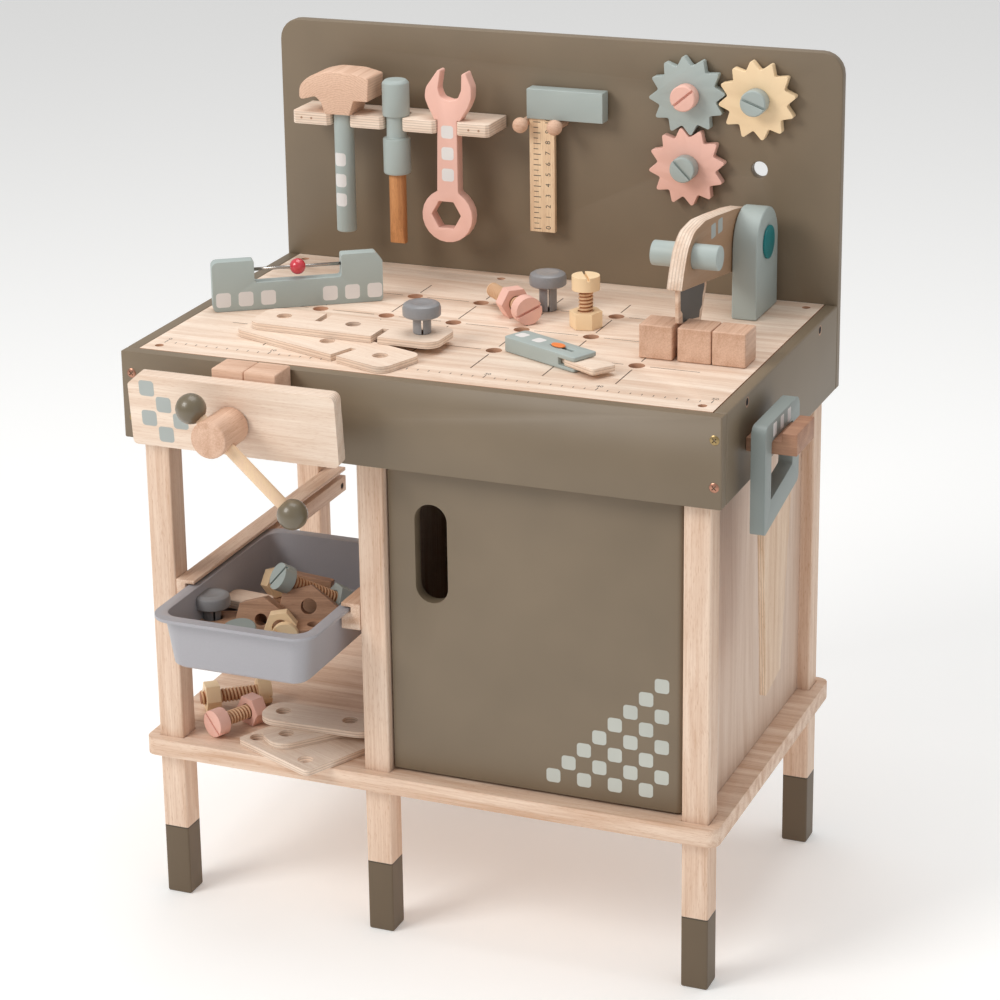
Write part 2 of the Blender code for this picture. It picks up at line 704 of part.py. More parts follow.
def make_tool_rack():
    """A ply shelf with a front-open notch for each of three tools."""
    left, right, rear, lead = 0.0315, 0.2285, PANEL_Y - GAP, 0.003
    outline = [(left, rear), (left, RACK_Y + lead), (left + lead, RACK_Y)]
    for x, width in ((HAMMER_X, 0.0195), (DRIVER_X, 0.0190), (WRENCH_X, 0.0208)):
        half = width / 2
        outline += [(x - half - lead, RACK_Y), (x - half, RACK_Y + lead)]
        outline += arc(x, TOOL_Y + 0.0115, half, 180, 0, 8)
        outline += [(x + half, RACK_Y + lead), (x + half + lead, RACK_Y)]
    outline += [(right - lead, RACK_Y), (right, RACK_Y + lead), (right, rear)]
    middle = (0, 0, (RACK_LOW_Z + RACK_HIGH_Z) / 2)
    plate("tool_rack", [outline], RACK_HIGH_Z - RACK_LOW_Z, middle, FLAT, "light_wood")


def make_hammer():
    """A beech head on a painted dowel. The head's foot rests on the rack."""
    foot = RACK_HIGH_Z + GAP
    claw, soft, round_top = 0.003, 0.012, 0.030
    corners = [(0.0420, 0.6880, claw), (0.0585, 0.6925, 0.004), (0.0640, 0.6870, 0.001), (0.0680, foot, 0)]
    corners += [(0.0925, foot, 0), (0.0973, 0.6902, 0.001), (0.1113, 0.6903, 0.001), (0.1129, 0.7120, 0.002)]
    corners += [(0.0960, 0.7160, round_top), (0.0720, 0.7164, round_top)]
    corners += [(0.0540, 0.7120, round_top), (0.0425, 0.7020, soft)]
    outline = rounded(corners, 4)
    head = plate("hammer_head", [outline], 0.034, (0, TOOL_Y, 0), FACING_FRONT, "beech")
    top_z = 0.7000
    dowel("hammer_handle", (HAMMER_X, TOOL_Y, 0.5620), (HAMMER_X, TOOL_Y, top_z), 0.0093, "blue_grey")
    bore_top = (HAMMER_X, TOOL_Y, top_z + GAP)
    cut(head, dowel("hammer_bore", (HAMMER_X, TOOL_Y, 0.6600), bore_top, 0.0093 + GAP, None))


def make_screwdriver():
    """A turned handle with a groove that sits in the rack, and a flattened wooden blade."""
    low = 0.6215
    groove = (0.655 - low, RACK_HIGH_Z + GAP - low)
    radius, groove_radius, height = 0.0127, 0.0092, 0.0885
    profile = [
        (0.0, 0.0),
        (radius - 0.001, 0.0),
        (radius, 0.0012),
        (radius, groove[0]),
        (groove_radius, groove[0] + 0.001),
        (groove_radius, groove[1]),
        (radius, groove[1]),
        (radius, height - 0.003),
        (radius - 0.003, height),
        (0.0, height),
    ]
    spot = (DRIVER_X, TOOL_Y, low)
    handle = turned("screwdriver_handle", profile, spot, (0, 0, 0), "blue_grey")
    blade_radius, blade_top = 0.0080, low + 0.015
    span = ((DRIVER_X, TOOL_Y, 0.5550), (DRIVER_X, TOOL_Y, blade_top))
    blade = dowel("screwdriver_blade", *span, blade_radius, "brown_wood")
    bore = ((DRIVER_X, TOOL_Y, 0.6100), (DRIVER_X, TOOL_Y, blade_top + GAP))
    cut(handle, dowel("screwdriver_bore", *bore, blade_radius + GAP, None))
    for side in (-1, 1):
        mesh = box_mesh("screwdriver_flat", (0.03, 0.012, 0.06))
        turn = (-side * math.radians(9), 0, 0)
        cutter = place("screwdriver_flat", mesh, None, (DRIVER_X, TOOL_Y + side * 0.0105, 0.5620), turn)
        cut(blade, cutter)


def make_wrench():
    """An open jaw above and a ring with a hexagonal hole below, cut from one ply board."""
    shaft, ring_z, ring, foot = 0.0097, 0.5860, 0.0250, RACK_HIGH_Z + GAP
    join = math.degrees(math.asin(shaft / ring))
    outline = arc(-0.0015, ring_z, ring, 90 + join, 450 - join - 6, 20)
    outline += [(shaft, 0.6105), (shaft, foot)]
    soft, tip, throat = 0.012, 0.0014, 0.009
    jaws = [(0.0125, foot, 0), (0.0205, 0.6890, soft), (0.0240, 0.6975, soft), (0.0243, 0.7080, soft)]
    jaws += [(0.0205, 0.7170, soft), (0.0187, 0.7222, tip), (0.0148, 0.7195, tip), (0.0143, 0.7050, throat)]
    jaws += [(0.0105, 0.6965, 0.006), (0.0030, 0.6942, 0.006), (-0.0060, 0.6970, 0.006)]
    jaws += [(-0.0088, 0.7050, throat), (-0.0060, 0.7215, tip), (-0.0082, 0.7232, tip)]
    jaws += [(-0.0155, 0.7130, soft), (-0.0207, 0.7060, soft), (-0.0220, 0.6965, soft)]
    jaws += [(-0.0185, 0.6875, soft), (-0.0125, foot, 0)]
    outline += rounded(jaws) + [(-shaft, foot)]
    hexagon = circle(-0.0025, ring_z + 0.001, 0.0145, steps=6)
    plate("wrench", [outline, hexagon], 0.0126, (WRENCH_X, TOOL_Y, 0), FACING_FRONT, "pink")


# Things on the worktop


def make_spirit_level():
    length, thickness, height = LEVEL_SIZE
    left, right, floor = 0.038, 0.1175, 0.025
    corners = [(0, 0, 0.004), (length, 0, 0.004)]
    corners += [(length, height - 0.008, 0), (length - 0.006, height, 0.003)]
    corners += [(right, height, 0.002), (right, floor, 0.003), (left, floor, 0.003), (left, height, 0.002)]
    corners += [(0, height, 0.005)]
    base = bpy.data.objects.new("level_base", None)
    base.location = (*LEVEL_CORNER, TOP_Z + GAP)
    base.rotation_euler = (0, 0, LEVEL_TURN)
    base.parent = BENCH
    PARTS.objects.link(base)
    middle_y = thickness / 2
    body = plate(
        "level_body", [rounded(corners)], thickness, (0, middle_y, 0), FACING_FRONT, "blue_grey", parent=base
    )
    rod_z, rod_radius, grip = 0.0362, 0.0016, 0.008
    start, end = (left - grip, middle_y, rod_z), (right + grip, middle_y, rod_z)
    dowel("level_rod", start, end, rod_radius, "steel", sides=12, parent=base)
    bore_start, bore_end = (start[0] - GAP, middle_y, rod_z), (end[0] + GAP, middle_y, rod_z)
    cut(body, dowel("level_bore", bore_start, bore_end, rod_radius + GAP, None, parent=base))
    bead_x = 0.0783
    bead = ball("level_bead", (bead_x, middle_y, rod_z), 0.0074, "red", parent=base)
    bead_bore = ((bead_x - 0.01, middle_y, rod_z), (bead_x + 0.01, middle_y, rod_z))
    cut(bead, dowel("bead_bore", *bead_bore, rod_radius + GAP, None, parent=base))


def make_knife():
    """A toy cutter: the blade slides in a channel in the body, and its button moves in a groove on top."""
    base = bpy.data.objects.new("knife_base", None)
    base.location = (*KNIFE_MIDDLE, TOP_Z + GAP)
    base.rotation_euler = (0, 0, KNIFE_TURN)
    base.parent = BENCH
    PARTS.objects.link(base)
    height, half_x, half_y = 0.0132, 0.0440, 0.0134
    corners = [
        (-half_x, -half_y, 0.004),
        (half_x, -half_y, 0.002),
        (half_x, half_y, 0.002),
        (-half_x, half_y, 0.004),
    ]
    body = plate("knife_body", [rounded(corners)], height, (0, 0, height / 2), FLAT, "blue_grey", parent=base)
    slot_z, slot_height = 0.0062, 0.0062
    channel_half, mouth = 0.0090, 0.0245
    beyond = 0.03
    channel = [(-0.032, -channel_half), (mouth, -channel_half), (mouth, -beyond), (2 * beyond, -beyond)]
    channel += [(x, -y) for x, y in reversed(channel)]
    cut(body, plate("knife_channel", [channel], slot_height, (0, 0, slot_z), FLAT, None, parent=base))
    groove = rectangle(0.0015, -0.0018, 0.0295, 0.0018)
    cut(body, plate("knife_groove", [groove], 0.010, (0, 0, slot_z + 0.005), FLAT, None, parent=base))
    tongue_half, shoulder = channel_half - 0.0005, mouth + 0.0055
    blade_corners = [
        (-0.0240, -tongue_half, 0.001),
        (shoulder, -tongue_half, 0),
        (shoulder, -0.0122, 0.002),
        (0.0685, -0.0150, 0.003),
        (0.0722, 0.0093, 0.003),
        (shoulder, 0.0118, 0.002),
        (shoulder, tongue_half, 0),
        (-0.0240, tongue_half, 0.001),
    ]
    thickness = slot_height - 2 * GAP
    outline = [rounded(blade_corners, 3)]
    blade = plate("knife_blade", outline, thickness, (0, 0, slot_z), FLAT, "light_wood", parent=base)
    button = rectangle(0.0075, -0.0013, 0.0145, 0.0013)
    low, high = slot_z, height + 0.0012
    add(blade, plate("knife_button", [button], high - low, (0, 0, (low + high) / 2), FLAT, None, parent=base))


def make_cream_bolt():
    """A wooden bolt standing in its nut on the worktop."""
    x, y, low = 0.3558, 0.1999, TOP_Z + GAP
    nut_height, head_low, head_high = 0.0145, 0.0330, 0.0465
    outlines = [circle(0, 0, 0.0147, steps=6, start=math.radians(12)), circle(0, 0, 0.0070)]
    plate("cream_nut", outlines, nut_height, (x, y, low + nut_height / 2), FLAT, "cream")
    profile = [
        (0.0, 0.0),
        (0.0060, 0.0),
        (0.0066, 0.001),
        (0.0066, head_low),
        (0.0125, head_low),
        (0.0125, head_high - 0.001),
        (0.0115, head_high),
        (0.0, head_high),
    ]
    bolt = turned("cream_bolt", profile, (x, y, low + 0.0010), (0, 0, 0), "cream")
    mesh = box_mesh("cream_bolt_slot", (0.04, 0.0022, 0.006))
    slot_turn = (0, 0, math.radians(-60))
    cut(bolt, place("cream_bolt_slot", mesh, None, (x, y, low + 0.0010 + head_high), slot_turn))


def build():
    make_legs()
    make_shelf()
    make_boards()
    make_worktop()
    make_back_panel()
    header, header_z = make_cabinet()
    make_door(header, header_z)
    make_rail("left", LEG_X[0] + LEG + GAP, 1)
    make_rail("right", LEG_X[1] - GAP, -1)
    make_tray()
    make_vise()
    make_clamped_cubes()
    make_saw_hook()
    make_handsaw()
    make_chop_saw()
    make_gears()
    make_try_square()
    make_tool_rack()
    make_hammer()
    make_screwdriver()
    make_wrench()
    make_spirit_level()
    make_knife()
    make_cream_bolt()


build()
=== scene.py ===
"""The looks of the toy workbench: wood, paint and plastic on the CAD parts, and the small pieces
that the CAD leaves out, such as screws, printed squares, rulers, threads, pegs and loose plates.

Lengths are in millimetres and places are in bench coordinates: X from the left board's outer face,
Y from the front board's front face, Z from the floor. at() turns them into the frame's metres.
"""

import math

import bmesh
import bpy
from mathutils import Matrix, Vector


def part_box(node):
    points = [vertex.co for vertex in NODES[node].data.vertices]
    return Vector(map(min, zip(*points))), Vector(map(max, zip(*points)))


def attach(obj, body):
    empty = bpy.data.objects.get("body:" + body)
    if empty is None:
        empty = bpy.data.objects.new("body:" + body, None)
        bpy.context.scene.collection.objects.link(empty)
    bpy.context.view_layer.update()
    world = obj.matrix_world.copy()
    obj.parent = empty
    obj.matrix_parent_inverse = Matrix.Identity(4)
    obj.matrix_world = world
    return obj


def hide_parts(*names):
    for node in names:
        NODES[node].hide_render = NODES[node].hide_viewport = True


MM = 0.001
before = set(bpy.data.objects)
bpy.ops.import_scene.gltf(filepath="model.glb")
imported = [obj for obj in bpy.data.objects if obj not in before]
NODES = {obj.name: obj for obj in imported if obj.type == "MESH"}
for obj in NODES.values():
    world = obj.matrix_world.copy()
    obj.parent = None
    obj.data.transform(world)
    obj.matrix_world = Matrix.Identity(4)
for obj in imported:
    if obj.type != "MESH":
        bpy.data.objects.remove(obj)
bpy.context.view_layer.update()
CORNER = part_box("front_board")[0]

# Faces that small pieces sit on
TOP = 524.0
SHELF_TOP = 157.0
TRAY_FLOOR = 259.5
RIGHT_FACE_X = 546.0
RACK_FRONT_Y = 290.0
FOOT_TOP = 66.0

# Spacing
GAP = 0.3
PRINT = 0.12
GRID_X, GRID_Y, PITCH = 110.5, 108.0, 65.0
RULER_ZERO_X = 25.5

# Angles at which faces count as one, and edges as sharp
FLAT_ANGLE = math.radians(1)
BEVEL_ANGLE = math.radians(32)
SHARP_ANGLE = math.radians(35)

# X and Z of the middle of the hammer head's growth rings, in the frame's own axes
HAMMER_RINGS = (-213.0, 664.0)

# The camera's place on the bench, its axes and its lens
CAMERA_PLACE = (1236.4, -2167.7, 1291.4)
CAMERA_RIGHT = (0.92170, 0.38747, -0.01822)
CAMERA_UP = (-0.10556, 0.29574, 0.94942)
CAMERA_BACK = (0.37326, -0.87316, 0.31348)
CAMERA_LENS = 107.83
CAMERA_SHIFT = (0.05, -0.10)

# Colours, linear
TAUPE = (0.205, 0.154, 0.100)
FOOT = (0.150, 0.108, 0.068)
FOOT_SEAM = (0.08, 0.06, 0.04)
BLUE_GREY = (0.395, 0.450, 0.430)
SLATE = (0.270, 0.305, 0.290)
PINK = (0.86, 0.51, 0.42)
CREAM = (0.92, 0.69, 0.43)
OLIVE = (0.150, 0.118, 0.072)
PRINT_WHITE = (0.76, 0.73, 0.71)
PRINT_GREY = (0.41, 0.44, 0.42)
PRINT_PALE = (0.52, 0.53, 0.48)
INK = (0.055, 0.050, 0.045)
PINE = (0.87, 0.68, 0.54)
PINE_DARK = (0.60, 0.37, 0.24)
BIRCH = (0.91, 0.76, 0.63)
BIRCH_DARK = (0.70, 0.50, 0.37)
BEECH = (0.78, 0.53, 0.39)
BEECH_DARK = (0.52, 0.29, 0.18)
# SHADED_HOOK_BEECH is beech darkened well below BEECH: painted shade on the saw hook's faces
SHADED_HOOK_BEECH = (0.34, 0.165, 0.100)
# SHADED_SIDE_PINE is pine darker than PINE for the right side panel: partly painted shade on that side,
# partly a greyer wood with less figure
SHADED_SIDE_PINE = (0.76, 0.60, 0.49)
SIDE_PINE_DARK = (0.60, 0.42, 0.31)
HOLE_WALL = (0.56, 0.28, 0.16)
AMBER = (0.84, 0.65, 0.49)
AMBER_DARK = (0.60, 0.37, 0.22)
WALNUT = (0.52, 0.31, 0.20)
WALNUT_DARK = (0.30, 0.16, 0.095)
COPPER_WOOD = (0.68, 0.31, 0.12)
COPPER_WOOD_DARK = (0.36, 0.14, 0.05)


def at(x, y, z):
    return Vector((CORNER.x + x * MM, CORNER.y + y * MM, z * MM))


def turned(matrix, turn_z, turn_x, turn_y):
    """The place turned about its own Z, then its own X, then its own Y, in degrees."""
    for degrees, axis in ((turn_z, "Z"), (turn_x, "X"), (turn_y, "Y")):
        matrix = matrix @ Matrix.Rotation(math.radians(degrees), 4, axis)
    return matrix


def base(x, y, z, turn_z=0.0, turn_x=0.0, turn_y=0.0):
    """A place on the bench."""
    return turned(Matrix.Translation(at(x, y, z)), turn_z, turn_x, turn_y)


def local(matrix, x=0.0, y=0.0, z=0.0, turn_z=0.0, turn_x=0.0, turn_y=0.0):
    """A place within another place."""
    return turned(matrix @ Matrix.Translation(Vector((x, y, z)) * MM), turn_z, turn_x, turn_y)


def aimed(x, y, z, direction, roll=0.0):
    """A place on the bench whose +Z points along a direction."""
    turn = Vector(direction).to_track_quat("Z", "Y").to_matrix().to_4x4()
    return Matrix.Translation(at(x, y, z)) @ turn @ Matrix.Rotation(math.radians(roll), 4, "Z")


def upright(x=0.0, y=0.0, z=0.0):
    """A place whose own x and y run along X and Z, and which faces the front."""
    return base(x, y, z, turn_x=90)


def sideways(x=0.0, y=0.0, z=0.0):
    """A place whose own x and y run along Y and Z, and which faces right."""
    return base(x, y, z, turn_z=90, turn_x=90)


# Materials


def new_material(name, roughness, **shader_values):
    material = bpy.data.materials.new(name)
    material.use_nodes = True
    shader = material.node_tree.nodes["Principled BSDF"]
    shader.inputs["Roughness"].default_value = roughness
    for key, value in shader_values.items():
        shader.inputs[key.replace("_", " ")].default_value = value
    return material, material.node_tree, shader


def node(tree, kind, inputs=None, **settings):
    made = tree.nodes.new("ShaderNode" + kind)
    for key, value in settings.items():
        setattr(made, key, value)
    for key, value in (inputs or {}).items():
        if isinstance(value, bpy.types.NodeSocket):
            tree.links.new(value, made.inputs[key])
        else:
            made.inputs[key].default_value = value
    return made


def calc(tree, operation, first, second=0.0):
    return node(tree, "Math", {0: first, 1: second}, operation=operation).outputs[0]


def blend_colour(tree, factor, first, second):
    inputs = {"Factor": factor, "A": first, "B": second}
    made = node(tree, "Mix", data_type="RGBA")
    for key, value in inputs.items():
        socket = next(s for s in made.inputs if s.name == key and s.type in ("RGBA", "VALUE") and s.enabled)
        if isinstance(value, bpy.types.NodeSocket):
            tree.links.new(value, socket)
        else:
            socket.default_value = value if key == "Factor" else (*value, 1.0)
    return next(s for s in made.outputs if s.type == "RGBA" and s.enabled)


def millimetres(tree):
    place = node(tree, "TexCoord").outputs["Object"]
    return node(tree, "VectorMath", {0: place, 3: 1000.0}, operation="SCALE").outputs[0]


def stretched(tree, place, axis, across, along):
    """Coordinates in which a pattern is across mm wide and along mm long, along one axis."""
    scale = [1 / across] * 3
    scale["XYZ".index(axis)] = 1 / along
    return node(tree, "VectorMath", {0: place, 1: scale}, operation="MULTIPLY").outputs[0]


def noise(tree, place, detail):
    inputs = {"Vector": place, "Scale": 1.0, "Detail": detail}
    return node(tree, "TexNoise", inputs).outputs["Fac"]


def ramp(tree, value, low, high):
    made = node(tree, "MapRange", {"Value": value, "From Min": low, "From Max": high})
    return made.outputs[0]


def bump(tree, shader, height, strength, distance):
    inputs = {"Height": height, "Strength": strength, "Distance": distance * MM}
    made = node(tree, "Bump", inputs)
    tree.links.new(made.outputs[0], shader.inputs["Normal"])


def edge_mask(tree, axis):
    """1 on faces that look across the axis, so on the edges of a board whose thickness is along it."""
    normal = node(tree, "TexCoord").outputs["Normal"]
    parts = node(tree, "SeparateXYZ", {0: normal})
    facing = calc(tree, "ABSOLUTE", parts.outputs["XYZ".index(axis)])
    return calc(tree, "LESS_THAN", facing, 0.6)


def wood_grain(tree, place, light, dark, grain, figure):
    """The colour of broad figure, fine streaks and pores along the grain, and the height for their bump."""
    warp = noise(tree, stretched(tree, place, grain, 55, 240), 2.0)
    shift = node(tree, "VectorMath", {0: (34.0, 34.0, 34.0), 3: warp}, operation="SCALE").outputs[0]
    warped = node(tree, "VectorMath", {0: place, 1: shift}, operation="ADD").outputs[0]
    broad = noise(tree, stretched(tree, warped, grain, 11, 260), 4.0)
    fine = noise(tree, stretched(tree, place, grain, 1.3, 60), 4.0)
    pores = noise(tree, stretched(tree, place, grain, 0.45, 7), 1.0)
    figure_part = calc(tree, "MULTIPLY", ramp(tree, broad, 0.38, 0.68), figure)
    fine_part = calc(tree, "MULTIPLY", ramp(tree, fine, 0.35, 0.75), 0.45)
    pore_part = calc(tree, "MULTIPLY", ramp(tree, pores, 0.60, 0.74), 0.55)
    total = calc(tree, "ADD", calc(tree, "ADD", figure_part, fine_part), pore_part)
    height = calc(tree, "ADD", fine, calc(tree, "MULTIPLY", pores, 0.5))
    return blend_colour(tree, total, light, dark), height


def ply_layers(tree, place, colour, dark, axis, layer):
    """Darker glue lines on the edges of a board whose thickness is along the axis."""
    parts = node(tree, "SeparateXYZ", {0: place})
    wave = calc(tree, "MULTIPLY", parts.outputs["XYZ".index(axis)], 2 * math.pi / layer)
    stripes = ramp(tree, calc(tree, "SINE", wave), 0.05, 0.85)
    edge = calc(tree, "MULTIPLY", stripes, edge_mask(tree, axis))
    line = [value * 0.52 for value in dark]
    return blend_colour(tree, calc(tree, "MULTIPLY", edge, 0.42), colour, line)


def painted_feet(tree, place, colour):
    """Paint up to FOOT_TOP, with a dark seam above it."""
    height = node(tree, "SeparateXYZ", {0: place}).outputs[2]
    painted = calc(tree, "LESS_THAN", height, FOOT_TOP)
    from_seam = calc(tree, "ABSOLUTE", calc(tree, "SUBTRACT", height, FOOT_TOP + 0.5))
    colour = blend_colour(tree, painted, colour, FOOT)
    return blend_colour(tree, calc(tree, "LESS_THAN", from_seam, 0.7), colour, FOOT_SEAM)


def wood(name, light, dark, grain, ply=None, feet=False, rim=None, figure=0.75, layer=2.6):
    """Wood with its grain along one axis.

    ply is the axis of a plywood board's thickness, and rim is (axis, colour) for the faces across that axis.
    """
    material, tree, shader = new_material(name, 0.52, Specular_IOR_Level=0.35)
    place = millimetres(tree)
    colour, height = wood_grain(tree, place, light, dark, grain, figure)
    if ply:
        colour = ply_layers(tree, place, colour, dark, ply, layer)
    if rim:
        colour = blend_colour(tree, calc(tree, "MULTIPLY", edge_mask(tree, rim[0]), 0.85), colour, rim[1])
    if feet:
        colour = painted_feet(tree, place, colour)
    tree.links.new(colour, shader.inputs["Base Color"])
    bump(tree, shader, height, 0.25, 0.15)
    return material


def ringed(name, light, dark, centre, spacing):
    """End grain seen along Y: growth rings about a centre (x, z), with short streaks between them."""
    material, tree, shader = new_material(name, 0.55, Specular_IOR_Level=0.35)
    place = millimetres(tree)
    wobble = noise(tree, stretched(tree, place, "Y", 14, 200), 2.0)
    parts = node(tree, "SeparateXYZ", {0: place})
    offsets = [calc(tree, "SUBTRACT", parts.outputs[i], c) for i, c in zip((0, 2), centre)]
    reach = calc(tree, "SQRT", calc(tree, "ADD", *[calc(tree, "MULTIPLY", o, o) for o in offsets]))
    bent = calc(tree, "ADD", reach, calc(tree, "MULTIPLY", wobble, 9.0))
    wave = calc(tree, "SINE", calc(tree, "MULTIPLY", bent, 2 * math.pi / spacing))
    rings = calc(tree, "MULTIPLY", ramp(tree, wave, 0.0, 1.0), 0.34)
    streaks = ramp(tree, noise(tree, stretched(tree, place, "Y", 1.4, 40), 3.0), 0.40, 0.75)
    total = calc(tree, "ADD", rings, calc(tree, "MULTIPLY", streaks, 0.35))
    tree.links.new(blend_colour(tree, total, light, dark), shader.inputs["Base Color"])
    bump(tree, shader, streaks, 0.2, 0.1)
    return material


def stained(name, light, dark, grain, axis, stain_and_shade, amount):
    """Ply with light edges and a dark colour on the faces that look along +axis: partly a real stain, partly
    painted shade on that side.
    """
    material = wood(name, light, dark, grain, ply=axis, layer=2.8)
    tree = material.node_tree
    shader = tree.nodes["Principled BSDF"]
    plain = shader.inputs["Base Color"].links[0].from_socket
    normal = node(tree, "TexCoord").outputs["Normal"]
    facing = node(tree, "SeparateXYZ", {0: normal}).outputs["XYZ".index(axis)]
    # The faces along +axis take a colour that is partly stain and partly painted shade.
    stain_and_shade_mask = calc(tree, "MULTIPLY", calc(tree, "GREATER_THAN", facing, 0.6), amount)
    tree.links.new(blend_colour(tree, stain_and_shade_mask, plain, stain_and_shade), shader.inputs["Base Color"])
    return material


def threaded(name, ridge, groove):
    """A turned thread, with painted shade in its groove."""
    material, tree, shader = new_material(name, 0.6, Specular_IOR_Level=0.3)
    place = millimetres(tree)
    parts = node(tree, "SeparateXYZ", {0: place})
    squares = [calc(tree, "MULTIPLY", parts.outputs[i], parts.outputs[i]) for i in (0, 1)]
    reach = calc(tree, "SQRT", calc(tree, "ADD", *squares))
    # depth is 1 on the ridge and 0 in the groove, where the groove colour is painted shade; the streaks are
    # grain.
    depth = ramp(tree, reach, 5.5, 6.45)
    streaks = ramp(tree, noise(tree, stretched(tree, place, "Z", 0.9, 14), 3.0), 0.35, 0.7)
    clear_of_groove_shade = calc(tree, "MULTIPLY", depth, calc(tree, "ADD", calc(tree, "MULTIPLY", streaks, 0.25), 0.75))
    tree.links.new(blend_colour(tree, clear_of_groove_shade, groove, ridge), shader.inputs["Base Color"])
    bump(tree, shader, streaks, 0.2, 0.1)
    return material


def paint(name, colour, roughness=0.48, grain=None, gloss=0.0):
    """Satin paint: slight shifts of tone, a fine orange-peel bump and, where asked, wood grain below."""
    material, tree, shader = new_material(name, roughness, Coat_Weight=gloss, Coat_Roughness=0.18)
    place = millimetres(tree)
    broad = ramp(tree, noise(tree, stretched(tree, place, "Z", 70, 70), 2.0), 0.3, 0.7)
    tone = blend_colour(tree, broad, [v * 0.94 for v in colour], [min(1.0, v * 1.05) for v in colour])
    speck = ramp(tree, noise(tree, stretched(tree, place, "Z", 0.9, 0.9), 2.0), 0.70, 0.80)
    tone = blend_colour(tree, calc(tree, "MULTIPLY", speck, 0.10), tone, [v * 0.6 for v in colour])
    tree.links.new(tone, shader.inputs["Base Color"])
    peel = noise(tree, stretched(tree, place, "Z", 1.6, 1.6), 2.0)
    if grain:
        streaks = noise(tree, stretched(tree, place, grain, 0.9, 40), 3.0)
        peel = calc(tree, "ADD", peel, streaks)
    bump(tree, shader, peel, 0.18, 0.12)
    return material


def plastic(name, colour, roughness=0.36, grain=1.1):
    """Moulded plastic with a fine spark-eroded grain."""
    material, tree, shader = new_material(name, roughness, Specular_IOR_Level=0.45)
    place = millimetres(tree)
    cells = noise(tree, stretched(tree, place, "Z", grain, grain), 3.0)
    tone = blend_colour(tree, ramp(tree, cells, 0.35, 0.65), [v * 0.96 for v in colour], colour)
    tree.links.new(tone, shader.inputs["Base Color"])
    bump(tree, shader, cells, 0.20, 0.10)
    return material


def metal(name, colour, roughness=0.28):
    material, tree, shader = new_material(name, roughness, Metallic=1.0)
    place = millimetres(tree)
    wear = noise(tree, stretched(tree, place, "Z", 0.8, 0.8), 3.0)
    tone = blend_colour(tree, wear, [v * 0.75 for v in colour], colour)
    tree.links.new(tone, shader.inputs["Base Color"])
    bump(tree, shader, wear, 0.15, 0.08)
    return material


